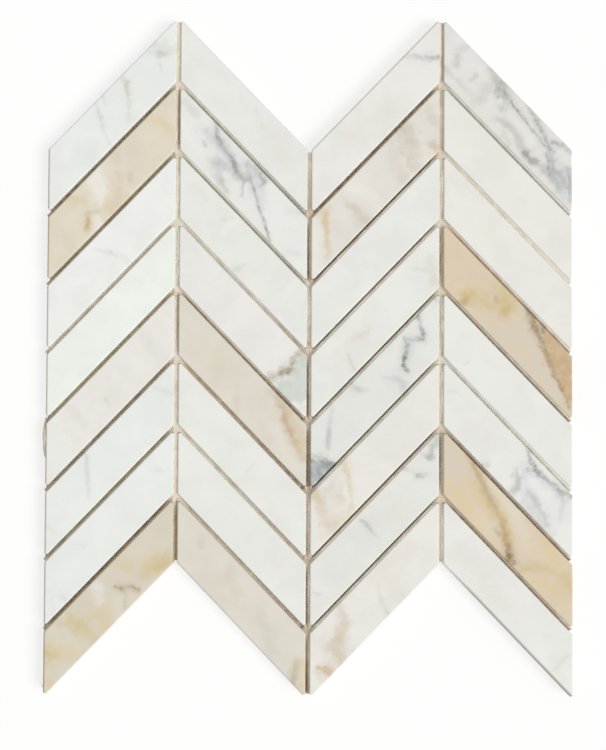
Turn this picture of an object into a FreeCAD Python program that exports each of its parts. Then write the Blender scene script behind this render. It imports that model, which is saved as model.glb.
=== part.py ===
"""Chevron mosaic wall tile: slanted marble chips in columns on one coated mesh backing. Millimetres.

The sheet lies face up. +X runs across the columns, +Y up the wall and +Z out of the polished face. The
origin is under the middle of the sheet, on the underside of the backing.
"""

import FreeCAD, Part
import math
import os

# Layout of the sheet
COLUMNS = 4
ROWS = 8
SLANT_DEG = 46.0            # how steeply the long sides rise, up to the right in the first column

# Marble chips
CHIP_WIDTH = 25.4           # between the two long sides, square to them
CHIP_SPAN = 73.8            # between the two upright ends, across the column
CHIP_THICKNESS = 8.7
TIP_RADIUS = 1.1            # blunted acute corners
ARRIS = 0.4                 # eased edge round the polished face

# Open joints, left for the grout
LONG_JOINT = 2.2            # between long sides, square to them
UPRIGHT_JOINT = 2.4         # between the ends of two columns

# Coated mesh backing, cut a little short of the chips
BACKING_THICKNESS = 0.8
BACKING_INSET_LEFT = 0.5
BACKING_INSET_RIGHT = 3.0
BACKING_INSET_ENDS = 3.0    # from the long sides of the first and last rows, square to them

# Sizes that follow from the ones above
SLOPE = math.tan(math.radians(SLANT_DEG))
UPRIGHT_PER_WIDTH = 1.0 / math.cos(math.radians(SLANT_DEG))
COLUMN_PITCH = CHIP_SPAN + UPRIGHT_JOINT
ROW_PITCH = (CHIP_WIDTH + LONG_JOINT) * UPRIGHT_PER_WIDTH
FIELD_WIDTH = COLUMNS * COLUMN_PITCH - UPRIGHT_JOINT
FIELD_HEIGHT = ROWS * ROW_PITCH - LONG_JOINT * UPRIGHT_PER_WIDTH


def column_direction(column):
    """1 where the column climbs to the right, -1 where it climbs to the left. Columns count from 0."""
    return 1 if column % 2 == 0 else -1


def column_centre(column):
    """X of the middle of a column."""
    return (column - (COLUMNS - 1) / 2) * COLUMN_PITCH


def row_centre(row):
    """Y of the middle of a row, counted from 0 at the top."""
    return ((ROWS - 1) / 2 - row) * ROW_PITCH


def prism(corners, bottom, thickness):
    """Upright solid over a closed outline of (x, y) corners."""
    points = [FreeCAD.Vector(x, y, bottom) for x, y in corners]
    outline = Part.makePolygon(points + points[:1])
    return Part.Face(outline).extrude(FreeCAD.Vector(0, 0, thickness))


def is_upright(edge):
    """True for an edge that runs along Z."""
    start, end = edge.Vertexes
    return math.isclose(start.X, end.X, abs_tol=1e-6) and math.isclose(start.Y, end.Y, abs_tol=1e-6)


def marble_chip(direction):
    """One chip at the origin: a parallelogram with blunted acute corners and an eased face."""
    half_span = CHIP_SPAN / 2
    half_end = CHIP_WIDTH * UPRIGHT_PER_WIDTH / 2
    climb = direction * SLOPE * half_span
    corners = [
        (-half_span, -climb - half_end),
        (half_span, climb - half_end),
        (half_span, climb + half_end),
        (-half_span, -climb + half_end),
    ]
    chip = prism(corners, BACKING_THICKNESS, CHIP_THICKNESS)

    # The acute corners are the two that lie furthest up and furthest down
    tip_height = SLOPE * half_span + half_end
    tips = [
        edge for edge in chip.Edges
        if is_upright(edge) and math.isclose(abs(edge.CenterOfMass.y), tip_height, abs_tol=1e-6)
    ]
    chip = chip.makeFillet(TIP_RADIUS, tips)

    polished_face = max(chip.Faces, key=lambda face: face.CenterOfMass.z)
    return chip.makeChamfer(ARRIS, polished_face.Edges)


def zigzag(x):
    """Y of the chevron line through the middle of the sheet at a given X."""
    column = min(COLUMNS - 1, max(0, math.floor(x / COLUMN_PITCH + COLUMNS / 2)))
    return column_direction(column) * SLOPE * (x - column_centre(column))


def mesh_backing():
    """One thin sheet with the outline of the chip field, drawn in by its insets."""
    turns = [(boundary - COLUMNS / 2) * COLUMN_PITCH for boundary in range(1, COLUMNS)]
    left = -FIELD_WIDTH / 2 + BACKING_INSET_LEFT
    right = FIELD_WIDTH / 2 - BACKING_INSET_RIGHT
    half_height = FIELD_HEIGHT / 2 - BACKING_INSET_ENDS * UPRIGHT_PER_WIDTH
    across = [left] + turns + [right]
    bottom_edge = [(x, zigzag(x) - half_height) for x in across]
    top_edge = [(x, zigzag(x) + half_height) for x in reversed(across)]
    return prism(bottom_edge + top_edge, 0, BACKING_THICKNESS)


def main():
    os.makedirs("parts", exist_ok=True)
    mesh_backing().exportStep("parts/mesh_backing.step")
    for column in range(COLUMNS):
        pattern = marble_chip(column_direction(column))
        for row in range(ROWS):
            chip = pattern.translated(FreeCAD.Vector(column_centre(column), row_centre(row), 0))
            chip.exportStep(f"parts/chip_column{column + 1}_row{row + 1}.step")


main()
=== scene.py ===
"""Looks of a chevron mosaic wall tile: slanted marble chips held by adhesive on a woven glass net.

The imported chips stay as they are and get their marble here. The plain backing is replaced by the net and by
the adhesive that it is soaked in. Lengths are metres, unless a name or a comment says mm.
"""

import math
from collections import namedtuple
from contextlib import contextmanager

import bmesh
import bpy
from bpy.props import FloatProperty, FloatVectorProperty, PointerProperty
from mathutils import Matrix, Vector, noise


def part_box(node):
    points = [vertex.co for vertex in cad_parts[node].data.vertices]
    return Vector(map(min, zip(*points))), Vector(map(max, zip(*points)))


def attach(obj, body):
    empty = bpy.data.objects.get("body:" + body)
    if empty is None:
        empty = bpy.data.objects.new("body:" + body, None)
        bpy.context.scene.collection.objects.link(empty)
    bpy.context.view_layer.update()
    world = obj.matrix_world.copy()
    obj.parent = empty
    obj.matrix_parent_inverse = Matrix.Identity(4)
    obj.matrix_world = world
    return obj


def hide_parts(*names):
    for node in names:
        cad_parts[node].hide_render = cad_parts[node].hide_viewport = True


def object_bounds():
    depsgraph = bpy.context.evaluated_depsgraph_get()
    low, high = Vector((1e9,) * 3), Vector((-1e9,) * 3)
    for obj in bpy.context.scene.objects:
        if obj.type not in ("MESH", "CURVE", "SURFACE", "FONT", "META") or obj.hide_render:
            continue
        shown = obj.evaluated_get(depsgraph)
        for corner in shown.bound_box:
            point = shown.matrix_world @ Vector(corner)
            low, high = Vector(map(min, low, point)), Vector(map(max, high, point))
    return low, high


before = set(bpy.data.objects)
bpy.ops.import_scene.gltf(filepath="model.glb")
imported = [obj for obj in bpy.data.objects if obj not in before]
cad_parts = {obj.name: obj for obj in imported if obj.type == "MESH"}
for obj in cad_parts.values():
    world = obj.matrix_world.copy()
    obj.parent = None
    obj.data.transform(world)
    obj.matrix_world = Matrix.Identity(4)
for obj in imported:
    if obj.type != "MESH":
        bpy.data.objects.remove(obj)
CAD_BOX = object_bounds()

bl_info = {
    "name": "Chevron Mosaic Tile",
    "version": (1, 0, 0),
    "blender": (4, 5, 0),
    "location": "View3D > Sidebar > Tile",
    "description": "Marble, glass net and adhesive for a chevron mosaic wall tile",
    "category": "Object",
}

MM = 0.001

# Layout of the sheet, as the part has it
COLUMNS = 4
ROWS = 8
SLANT = math.radians(46.0)
CHIP_WIDTH = 25.4 * MM
LONG_JOINT = 2.2 * MM
UPRIGHT_JOINT = 2.4 * MM
SLOPE = math.tan(SLANT)
CHIP_END = CHIP_WIDTH / math.cos(SLANT)
ROW_PITCH = (CHIP_WIDTH + LONG_JOINT) / math.cos(SLANT)
HALF_COLUMN_HEIGHT = (ROWS * ROW_PITCH - LONG_JOINT / math.cos(SLANT)) / 2
FIRST_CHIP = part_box("chip_column1_row1")
CHIP_SPAN = FIRST_CHIP[1].x - FIRST_CHIP[0].x
COLUMN_PITCH = CHIP_SPAN + UPRIGHT_JOINT
BACKING_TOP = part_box("mesh_backing")[1].z
FACE_TOP = CAD_BOX[1].z

# Places closer than this are the same
SAME_PLACE = 0.001 * MM

# The two colours that a Mix node takes
COLOUR_A, COLOUR_B = 6, 7


def column_climb(column):
    """Rise of the chips for each metre to the right, in a column counted from 0."""
    return SLOPE if column % 2 == 0 else -SLOPE


def column_middle(column):
    """X of the middle of a column."""
    return (column - (COLUMNS - 1) / 2) * COLUMN_PITCH


def joint_middle(row):
    """Y of the joint under a row, at the middle of its column. Rows count from 0 at the top."""
    return (ROWS / 2 - 1 - row) * ROW_PITCH


def turn_places():
    """The points on the upright joints where the chevron line through the middle of the sheet turns."""
    turns = []
    for column in range(COLUMNS - 1):
        rise = column_climb(column) * COLUMN_PITCH / 2
        turns.append(Vector((column_middle(column) + COLUMN_PITCH / 2, rise, 0)))
    return turns


def linear(code):
    """A hex sRGB colour as linear red, green and blue."""
    channels = [int(code[i:i + 2], 16) / 255 for i in (0, 2, 4)]
    return tuple(c / 12.92 if c <= 0.04045 else ((c + 0.055) / 1.055) ** 2.4 for c in channels)


def colour_property(name, description, code):
    """A colour that a user may change, given as sRGB hex."""
    return FloatVectorProperty(
        name=name, description=description, subtype="COLOR", size=3, min=0, max=1, default=linear(code)
    )


def length_property(name, description, millimetres):
    """A length that a user may change, given in mm."""
    return FloatProperty(
        name=name, description=description, subtype="DISTANCE", unit="LENGTH", min=0, precision=5,
        default=millimetres * MM
    )


def share_property(name, description, default):
    """A share from 0 to 1 that a user may change."""
    return FloatProperty(name=name, description=description, subtype="FACTOR", min=0, max=1, default=default)


class MarbleTones(bpy.types.PropertyGroup):
    """Ground colours of the chips, and the colours of the veins and patches on them."""

    cool_white: colour_property("Cool White", "Ground of the plain chips on the left", "E7E9E4")
    green_white: colour_property("Green White", "Ground of the palest chips", "EBEFE7")
    warm_white: colour_property("Warm White", "Ground of the faintly pink chips", "E8E6E1")
    plain_white: colour_property("Plain White", "Ground of the plain chips on the right", "E7E7E2")
    bright_white: colour_property("Bright White", "Ground of the brightest chip", "EBECE7")
    silver: colour_property("Silver", "Ground of the faintly grey chips", "E3E4DE")
    cream: colour_property("Cream", "Ground of the creamy chips", "E7E5DE")
    pale_grey: colour_property("Pale Grey", "Ground of the most veined grey chip", "E1E0DA")
    pale_beige: colour_property("Pale Beige", "Ground of the palest beige chip", "E2DED5")
    beige: colour_property("Beige", "Ground of the beige chips", "DCD7CA")
    tan: colour_property("Tan", "Ground of the palest yellow chip", "DDD6C3")
    dull_tan: colour_property("Dull Tan", "Ground of the dullest yellow chip", "D7CFBD")
    ochre_tan: colour_property("Ochre Tan", "Ground of the two strongest yellow chips", "D9C9B0")

    grey: colour_property("Grey", "Soft grey veins", "A9ABA8")
    dark_grey: colour_property("Dark Grey", "Hard grey veins", "767975")
    slate: colour_property("Slate", "Blue-grey corner", "9DA3A6")
    olive: colour_property("Olive", "Greenish veins", "B9B5A3")
    sage: colour_property("Sage", "Grey-green zone beside a vein", "CCD1C8")
    lilac: colour_property("Lilac", "Cool grey clouds between veins", "CFD0D2")
    taupe: colour_property("Taupe", "Soft brown-grey bands", "CDC2B0")
    blush: colour_property("Blush", "Pinkish tan bands", "D3C0A6")
    honey: colour_property("Honey", "Warm yellow patches", "E2CAA2")
    gold: colour_property("Gold", "Yellow streaks", "D8C598")
    ochre: colour_property("Ochre", "Deep yellow patches", "CDBB88")
    # Umber also paints the shade along outer edges that face away from the light
    rust: colour_property("Rust", "Brown-orange veins and zones", "C2A47A")
    umber: colour_property("Umber", "Dark brown lines", "7D6849")
    sand: colour_property("Sand", "Dull pale zones in the yellow chips", "D4CABA")
    pale: colour_property("Pale", "White patches in the yellow chips", "EAE7E0")


class ChipFinish(bpy.types.PropertyGroup):
    """Finish of the marble."""

    polish: share_property("Polish Roughness", "Roughness of the polished faces", 0.28)
    sawn: share_property("Sawn Roughness", "Roughness of the sawn sides", 0.62)
    wander: length_property("Vein Wander", "How far a vein strays from its line", 1.1)
    worn_edge: length_property("Worn Edge", "How far from a side the face starts to turn down", 0.9)
    saw_depth: length_property("Saw Mark Depth", "Depth of the saw marks on the sides", 0.03)
    stain: share_property("Joint Stain", "How strongly adhesive colours the foot of the sides", 0.35)
    stain_colour: colour_property("Stain", "Adhesive smeared on the sawn sides", "D0BFA2")


class NetSettings(bpy.types.PropertyGroup):
    """Glass net that the chips are laid on: level threads, held by twisted pairs of upright yarns."""

    pair_pitch: length_property("Pair Pitch", "Between the upright pairs of yarns", 5.1)
    thread_pitch: length_property("Thread Pitch", "Between the level threads", 5.0)
    thread_width: length_property("Thread Width", "Width of a level thread", 0.95)
    thread_height: length_property("Thread Height", "Thickness of a level thread", 0.26)
    yarn_width: length_property("Yarn Width", "Width of an upright yarn", 0.42)
    yarn_height: length_property("Yarn Height", "Thickness of an upright yarn", 0.2)
    pair_spread: length_property("Pair Spread", "How far a yarn lies to one side at a thread", 0.26)
    strays: length_property("Strays", "How far a thread strays from its line", 0.5)
    inset: length_property("Inset", "How far the net stops short of the outline", 3.0)
    overhang: length_property("Overhang", "How far it shows past the left side at the lower corner", 1.3)
    colour: colour_property("Coating", "Coated glass yarn", "E2D8C6")


class AdhesiveSettings(bpy.types.PropertyGroup):
    """Adhesive that holds the chips, which shows in the joints."""

    film_height: length_property("Film Height", "Top of the film between the threads", 0.5)
    film_thickness: length_property("Film Thickness", "Thickness of the film", 0.25)
    more_fill: length_property("More Fill", "Added to the fill of every joint", 0.0)
    colour: colour_property("Adhesive", "Set adhesive where it stands high", "DFD6C6")
    # Painted shade: this colour is mixed in lower down in the joints, and also in the random dull patches
    shade_and_dull_colour: colour_property(
        "Dark Adhesive", "Adhesive deep in a joint, where it is thin or dirty", "BCA37F"
    )
    # Painted shade: a grey tint that stands for the chips' shaded marble sides in some long joints
    shade_grey_colour: colour_property("Dusty Adhesive", "Adhesive greyed by stone dust", "DBDACF")


class StageSettings(bpy.types.PropertyGroup):
    """Floor and light."""

    floor_colour: colour_property("Floor", "Colour of the floor", "F9F9F8")
    floor_lift: share_property("Floor Lift", "How far the floor is lifted to white for the camera", 0.72)
    sun_strength: FloatProperty(
        name="Key Strength", description="Strength of the key light", min=0, default=1.95
    )
    fill_strength: FloatProperty(
        name="Fill Strength", description="Light from all round", min=0, default=0.56
    )
    sun_azimuth: FloatProperty(
        name="Key Azimuth", description="Where the key light stands, from the right anticlockwise",
        subtype="ANGLE", default=math.radians(-28)
    )
    sun_elevation: FloatProperty(
        name="Key Elevation", description="How high the key light stands", subtype="ANGLE",
        default=math.radians(48)
    )
    sun_spread: FloatProperty(
        name="Key Spread", description="Width of the key light, which softens shadows", subtype="ANGLE",
        default=math.radians(34)
    )


# Marks of the chips, given one by one. A point is (along, across, half width, strength): along in percent
# from a chip's left end to its right end, across in percent from its lower long side to its upper one, and
# the half width in mm. A kind has the pattern that it follows, how soft its sides are and how strong its halo
# is.
Face = namedtuple("Face", "ground marks")
Mark = namedtuple("Mark", "kind colour points")
Kind = namedtuple("Kind", "pattern softness halo")
VEIN = Kind("Vein", 0.72, 0.3)
BAND = Kind("Band", 1.0, 0.22)
ZONE = Kind("Band", 0.3, 0.0)
# Painted shade along outer edges: straight and even
EDGE_SHADE = Kind("Plain", 0.7, 0.0)


def vein(colour, *points):
    """A line that strays and breaks up."""
    return Mark(VEIN, colour, points)


def band(colour, *points):
    """A broad mark that fades out to both sides."""
    return Mark(BAND, colour, points)


def zone(colour, *points):
    """A broad mark with hard sides."""
    return Mark(ZONE, colour, points)


def edge(colour, *points):
    """Painted shade along an outer edge that faces away from the light, which is straight."""
    return Mark(EDGE_SHADE, colour, points)


FACES = {
    # Column 1, from the top
    "chip_column1_row1": Face("cool_white", (
        band("olive", (82, 92, 3.4, 0.28), (90, 72, 4.0, 0.32), (96, 58, 3.4, 0.25)),
        vein("olive", (57, 97, 1.7, 0.30), (60, 82, 2.2, 0.55), (62, 62, 1.8, 0.60), (63, 52, 1.3, 0.32),
             (62.5, 18, 1.0, 0.20)),
        vein("grey", (36, 100, 1.1, 0.22), (38.5, 82, 1.1, 0.28), (40.5, 66, 1.3, 0.36), (42, 52, 1.3, 0.28),
             (45, 28, 1.2, 0.15), (47, 10, 1.2, 0.18)),
        vein("grey", (42, 97, 1.3, 0.20), (45.5, 75, 1.1, 0.15)),
        band("grey", (80, 88, 1.2, 0.25), (86, 75, 2.0, 0.60), (91, 62, 1.7, 0.35)),
        band("grey", (87, 52, 1.2, 0.25), (88, 42, 1.0, 0.20)),
    )),
    "chip_column1_row2": Face("tan", (
        band("olive", (4, 70, 7.0, 0.12), (18, 30, 7.0, 0.12)),
        band("olive", (68, 70, 7.0, 0.08), (80, 30, 7.0, 0.08)),
        band("gold", (15, 97, 2.4, 0.50), (22, 80, 2.6, 0.55), (28, 68, 2.6, 0.70), (31, 56, 1.8, 0.30)),
        band("gold", (77, 97, 2.0, 0.45), (86, 76, 2.4, 0.50), (92, 52, 2.4, 0.60), (98, 28, 2.2, 0.50)),
        band("gold", (4, 30, 2.0, 0.20), (12, 8, 2.0, 0.20)),
        band("gold", (44, 36, 2.4, 0.45), (48, 18, 2.8, 0.65), (51, 4, 2.8, 0.65)),
        band("blush", (51, 50, 3.0, 0.45), (54, 32, 4.2, 0.60), (57, 8, 4.0, 0.55)),
        band("taupe", (51, 97, 2.4, 0.50), (54, 78, 2.2, 0.35)),
        band("pale", (38, 96, 3.4, 0.85), (39, 74, 4.6, 1.00), (40, 54, 4.2, 1.00), (41, 38, 2.2, 0.75)),
        band("pale", (38, 18, 2.2, 0.70), (40, 2, 3.0, 0.85)),
        vein("ochre", (31, 42, 1.4, 0.80), (31, 18, 1.8, 1.00)),
        vein("umber", (31, 36, 0.9, 0.22), (31, 22, 1.1, 0.28)),
        vein("umber", (34, 38, 0.8, 0.14), (38, 29, 1.0, 0.24), (41, 24, 0.9, 0.18)),
        band("taupe", (54, 58, 1.2, 0.60), (57, 40, 1.4, 0.60)),
        band("grey", (64, 40, 1.3, 0.25), (65, 24, 1.5, 0.35)),
    )),
    "chip_column1_row3": Face("bright_white", (
        vein("grey", (37, 82, 0.9, 0.12), (43, 66, 1.2, 0.22), (47, 55, 1.7, 0.40), (50, 48, 1.7, 0.35),
             (56, 32, 1.4, 0.18), (63, 9, 1.4, 0.12)),
    )),
    "chip_column1_row4": Face("green_white", (
        band("grey", (10, 60, 4.0, 0.06), (22, 20, 4.0, 0.06)),
    )),
    "chip_column1_row5": Face("cream", (
        zone("cool_white", (3, 90, 7.0, 0.65), (12, 20, 7.5, 0.65)),
        band("olive", (17, 92, 2.4, 0.18), (22, 72, 2.8, 0.20), (27, 50, 2.2, 0.16), (34, 20, 1.6, 0.12)),
        band("blush", (35, 80, 6.0, 0.08), (50, 40, 7.0, 0.12)),
        band("olive", (74, 90, 2.8, 0.14), (81, 58, 3.6, 0.18), (90, 12, 3.4, 0.18)),
        vein("olive", (46.5, 40, 1.0, 0.28), (50, 26, 1.1, 0.20)),
    )),
    "chip_column1_row6": Face("cool_white", (
        vein("grey", (31, 98, 1.0, 0.24), (32.5, 85, 1.2, 0.34), (33, 60, 1.2, 0.34), (33.5, 40, 1.2, 0.28),
             (34.5, 20, 1.0, 0.15)),
        vein("olive", (1, 46, 1.1, 0.25), (8, 22, 1.1, 0.16)),
        vein("grey", (84, 90, 0.9, 0.10), (92, 69, 1.2, 0.20), (98, 52, 1.2, 0.20)),
    )),
    "chip_column1_row7": Face("cool_white", (
        band("grey", (84, 68, 1.0, 0.10), (88, 60, 1.2, 0.22), (92, 50, 1.0, 0.15)),
        band("grey", (14, 18, 1.4, 0.20), (16, 10, 1.4, 0.20)),
        band("grey", (30, 66, 1.2, 0.10), (32, 60, 1.2, 0.10)),
    )),
    "chip_column1_row8": Face("dull_tan", (
        band("gold", (6, 60, 2.8, 0.55), (15, 36, 3.4, 0.55), (25, 10, 3.4, 0.50)),
        band("gold", (42, 44, 4.4, 0.55), (48, 20, 5.0, 0.70), (52, 4, 4.4, 0.60)),
        band("gold", (58, 88, 2.6, 0.55), (66, 64, 2.8, 0.60)),
        band("gold", (2, 18, 1.8, 0.60), (6, 4, 2.0, 0.60)),
        band("gold", (78, 40, 3.0, 0.40), (88, 30, 3.4, 0.45)),
        band("ochre", (1, 66, 3.2, 1.00), (5, 54, 3.2, 0.95), (9, 44, 2.0, 0.50)),
        band("ochre", (14, 84, 2.4, 0.45), (22, 70, 3.4, 0.85), (29, 46, 3.8, 0.95), (35, 26, 3.4, 0.65),
             (40, 4, 3.2, 0.55)),
        band("ochre", (76, 34, 2.8, 0.50), (84, 24, 3.8, 0.80), (93, 15, 3.8, 1.00), (100, 6, 2.8, 0.80)),
        band("rust", (54, 60, 1.8, 0.20), (60, 44, 2.2, 0.40), (66, 32, 1.8, 0.25), (72, 18, 1.8, 0.30)),
        band("rust", (91, 18, 1.8, 0.15), (99, 6, 1.8, 0.25)),
        band("pale", (37, 98, 2.6, 0.55), (42, 80, 3.2, 0.60), (44, 58, 2.6, 0.45)),
        band("beige", (58, 34, 1.8, 0.50), (58, 4, 2.2, 0.60)),
        band("grey", (63, 30, 0.9, 0.20), (63, 4, 1.0, 0.35)),
        vein("umber", (55.5, 55, 1.1, 0.50), (60, 43, 1.3, 0.55), (65, 34, 0.9, 0.24), (69, 27, 1.1, 0.50),
             (73, 14, 1.1, 0.45)),
    )),

    # Column 2, from the top
    "chip_column2_row1": Face("plain_white", (
        band("blush", (70, 72, 5.0, 0.14), (85, 40, 5.0, 0.14)),
        band("olive", (58, 76, 0.9, 0.16), (66, 62, 0.9, 0.10)),
    )),
    "chip_column2_row2": Face("plain_white", (
        band("lilac", (30, 88, 4.4, 0.45), (42, 66, 5.4, 0.60), (58, 72, 6.0, 0.70), (64, 46, 4.0, 0.45)),
        band("grey", (20, 70, 2.2, 0.30), (28, 76, 3.0, 0.45), (36, 72, 2.8, 0.35), (46, 58, 2.8, 0.40)),
        band("grey", (46, 56, 2.2, 0.35), (38, 51, 2.2, 0.45), (31, 44, 2.6, 0.60), (27, 36, 2.8, 0.55),
             (30, 24, 3.0, 0.50), (34, 11, 2.4, 0.40)),
        band("grey", (54, 68, 2.2, 0.50), (53, 86, 2.4, 0.60), (60, 94, 2.0, 0.45), (66, 86, 2.4, 0.50)),
        band("grey", (5, 86, 2.4, 0.30), (12, 80, 2.4, 0.30)),
        band("grey", (94, 98, 2.2, 0.20), (86, 82, 2.0, 0.15)),
        band("grey", (84, 12, 2.0, 0.14), (92, 28, 2.2, 0.18)),
        vein("dark_grey", (28, 100, 0.9, 0.48), (28.5, 81, 1.0, 0.54), (36, 74, 1.0, 0.44),
             (43, 64, 1.4, 0.72), (46, 57, 1.2, 0.44), (51, 57, 0.9, 0.30)),
        vein("dark_grey", (51, 58, 0.7, 0.28), (54.5, 68, 0.7, 0.38), (58, 60, 0.8, 0.50),
             (61, 48, 0.8, 0.56), (64, 32, 0.7, 0.56), (68, 17, 0.8, 0.70), (71, 4, 0.7, 0.60)),
        vein("dark_grey", (63, 92, 1.0, 0.36), (66, 84, 1.0, 0.36)),
        vein("grey", (50, 54, 1.0, 0.50), (48.5, 30, 1.1, 0.42)),
        vein("dark_grey", (19, 53, 1.0, 0.32), (20, 48, 1.0, 0.32)),
        vein("olive", (33, 20, 1.2, 0.45), (37, 10, 1.2, 0.45)),
    )),
    "chip_column2_row3": Face("plain_white", (
        band("grey", (35, 70, 1.2, 0.16), (41, 86, 1.2, 0.12)),
        band("grey", (42, 4, 1.6, 0.30), (46, 16, 1.8, 0.32), (50, 30, 1.4, 0.16)),
    )),
    "chip_column2_row4": Face("warm_white", (
        zone("sage", (82, 4, 6.4, 1.00), (93, 35, 10.0, 1.00), (99, 75, 7.5, 1.00), (101, 100, 5.0, 1.00)),
        band("olive", (70, 2, 2.2, 0.75), (77, 22, 2.4, 0.80), (83.5, 43, 2.6, 0.85), (89, 68, 2.2, 0.75),
             (94.5, 98, 2.0, 0.75)),
        band("lilac", (94, 16, 3.0, 0.45), (98, 44, 2.6, 0.45)),
        vein("umber", (76, 18, 0.9, 0.10), (80, 31, 1.2, 0.55), (84.5, 43, 1.5, 0.95), (87, 54, 1.1, 0.50),
             (91, 76, 1.0, 0.22), (95, 96, 1.0, 0.20)),
    )),
    "chip_column2_row5": Face("beige", (
        band("pale", (64, 66, 3.0, 0.15), (80, 36, 4.0, 0.25), (94, 20, 3.6, 0.25)),
        band("taupe", (72, 98, 2.4, 0.50), (88, 92, 4.0, 0.60), (98, 66, 4.2, 0.55)),
        band("gold", (86, 88, 3.4, 0.35), (95, 60, 3.6, 0.45)),
        band("blush", (66, 66, 3.0, 0.25), (74, 56, 3.0, 0.25)),
        band("rust", (77, 96, 1.8, 0.30), (82, 82, 2.2, 0.55), (86, 63, 2.6, 0.58), (91, 53, 2.2, 0.55),
             (98, 44, 2.0, 0.45)),
        vein("umber", (80, 86, 1.0, 0.14), (85, 66, 1.2, 0.20), (90, 54, 1.0, 0.16)),
        band("taupe", (46, 48, 1.8, 0.25), (45, 6, 1.8, 0.40)),
        band("taupe", (32, 46, 2.6, 0.25), (30, 20, 2.4, 0.25)),
        band("taupe", (67, 26, 2.6, 0.25), (72, 14, 2.6, 0.25)),
        band("gold", (20, 60, 8.0, 0.10), (40, 40, 8.0, 0.12)),
    )),
    "chip_column2_row6": Face("plain_white", (
        vein("taupe", (52, 24, 0.8, 0.15), (57, 54, 0.8, 0.25), (62, 68, 0.8, 0.15)),
    )),
    "chip_column2_row7": Face("plain_white", (
        band("blush", (74, 70, 4.0, 0.12), (84, 36, 4.0, 0.12)),
    )),
    "chip_column2_row8": Face("beige", (
        band("grey", (66, 50, 3.6, 0.14), (74, 16, 4.4, 0.20)),
        band("taupe", (18, 78, 2.0, 0.40), (19, 64, 2.0, 0.45)),
        band("taupe", (40, 72, 3.0, 0.35), (46, 44, 3.4, 0.40)),
        band("taupe", (20, 30, 7.0, 0.20), (60, 40, 7.0, 0.20)),
        band("gold", (98, 48, 2.4, 0.55), (98, 28, 2.6, 0.60), (99, 10, 2.6, 0.50)),
        band("rust", (93, 40, 2.0, 0.20), (91, 20, 2.4, 0.25), (91, 2, 2.4, 0.25)),
        band("umber", (93, 44, 1.8, 0.20), (91, 24, 2.2, 0.26), (91, 2, 2.2, 0.30)),
    )),

    # Column 3, from the top
    "chip_column3_row1": Face("warm_white", (
        band("sand", (30, 60, 8.0, 0.20), (60, 40, 8.0, 0.20)),
        vein("grey", (71, 100, 1.1, 0.26), (80, 82, 1.3, 0.50), (87, 64, 1.6, 0.46), (93, 52, 1.6, 0.50),
             (100, 40, 1.4, 0.52)),
        vein("dark_grey", (92, 56, 1.0, 0.22), (97, 46, 1.2, 0.40), (100, 41, 1.1, 0.32)),
    )),
    "chip_column3_row2": Face("pale_beige", (
        band("pale", (3, 92, 2.6, 0.60), (3, 10, 2.6, 0.60)),
        band("pale", (30, 88, 2.4, 0.60), (42, 54, 3.6, 0.75), (52, 14, 3.0, 0.40)),
        band("pale", (85, 52, 1.6, 0.55), (88, 34, 1.8, 0.60)),
        band("taupe", (12.5, 66, 2.0, 0.40), (13, 10, 1.8, 0.35)),
        band("taupe", (18, 50, 3.0, 0.20), (26, 15, 3.6, 0.25)),
        band("taupe", (70, 97, 4.6, 0.55), (74, 74, 5.2, 0.60), (78, 48, 4.4, 0.60), (80, 18, 3.4, 0.65)),
        band("taupe", (62, 96, 2.0, 0.30), (66, 50, 3.2, 0.35), (72, 14, 4.0, 0.50)),
        band("taupe", (90, 90, 3.6, 0.50), (96, 55, 3.8, 0.55)),
        band("taupe", (26, 76, 1.2, 0.30), (30, 58, 2.2, 0.60), (35, 40, 3.2, 0.70), (39, 20, 3.8, 0.70),
             (43, 3, 3.8, 0.70)),
        band("grey", (30, 58, 1.6, 0.10), (37, 28, 2.8, 0.12)),
        band("olive", (71, 92, 3.0, 0.40), (77, 70, 3.4, 0.40), (82, 54, 2.4, 0.28)),
        vein("olive", (68, 70, 0.9, 0.25), (74, 44, 1.0, 0.35), (77, 26, 0.9, 0.25)),
        band("gold", (5, 93, 1.8, 0.40), (11, 86, 2.8, 0.75), (12, 60, 1.6, 0.60), (12.5, 10, 1.4, 0.40)),
        band("rust", (9, 93, 1.2, 0.20), (11.5, 84, 1.8, 0.28), (11.8, 60, 1.2, 0.28), (12, 30, 0.9, 0.15)),
        band("rust", (89, 36, 1.6, 0.20), (95, 20, 2.4, 0.50), (99, 6, 2.4, 0.55)),
    )),
    "chip_column3_row3": Face("plain_white", (
        band("blush", (50, 70, 4.0, 0.10), (66, 40, 4.0, 0.10)),
    )),
    "chip_column3_row4": Face("plain_white", (
        band("blush", (14, 60, 6.0, 0.10), (40, 50, 8.0, 0.16)),
        band("olive", (29, 38, 1.2, 0.25), (34, 8, 1.6, 0.45)),
        band("grey", (78, 76, 1.0, 0.14), (87, 56, 1.4, 0.22)),
        band("taupe", (93, 60, 2.6, 0.35), (96, 14, 3.0, 0.40)),
        band("taupe", (28, 64, 1.4, 0.14), (44, 46, 1.8, 0.28)),
    )),
    "chip_column3_row5": Face("silver", (
        zone("slate", (-2, 28, 9.5, 0.90), (9, 14, 4.3, 1.00), (18, 0, 1.4, 0.90)),
        vein("dark_grey", (1, 50, 1.2, 0.25), (7, 33, 1.8, 0.45), (12, 18, 1.8, 0.50), (17, 4, 1.5, 0.50)),
        band("grey", (17, 92, 1.3, 0.20), (15, 72, 1.3, 0.34), (13.5, 53, 1.4, 0.70), (13.5, 36, 1.4, 0.40)),
        band("grey", (32, 99, 1.7, 0.40), (35, 82, 1.6, 0.45), (39, 72, 1.5, 0.42), (45, 60, 1.2, 0.16)),
        band("grey", (57, 54, 1.2, 0.20), (64, 39, 1.9, 0.45), (70, 25, 2.1, 0.55), (73, 8, 2.6, 0.45)),
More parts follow.
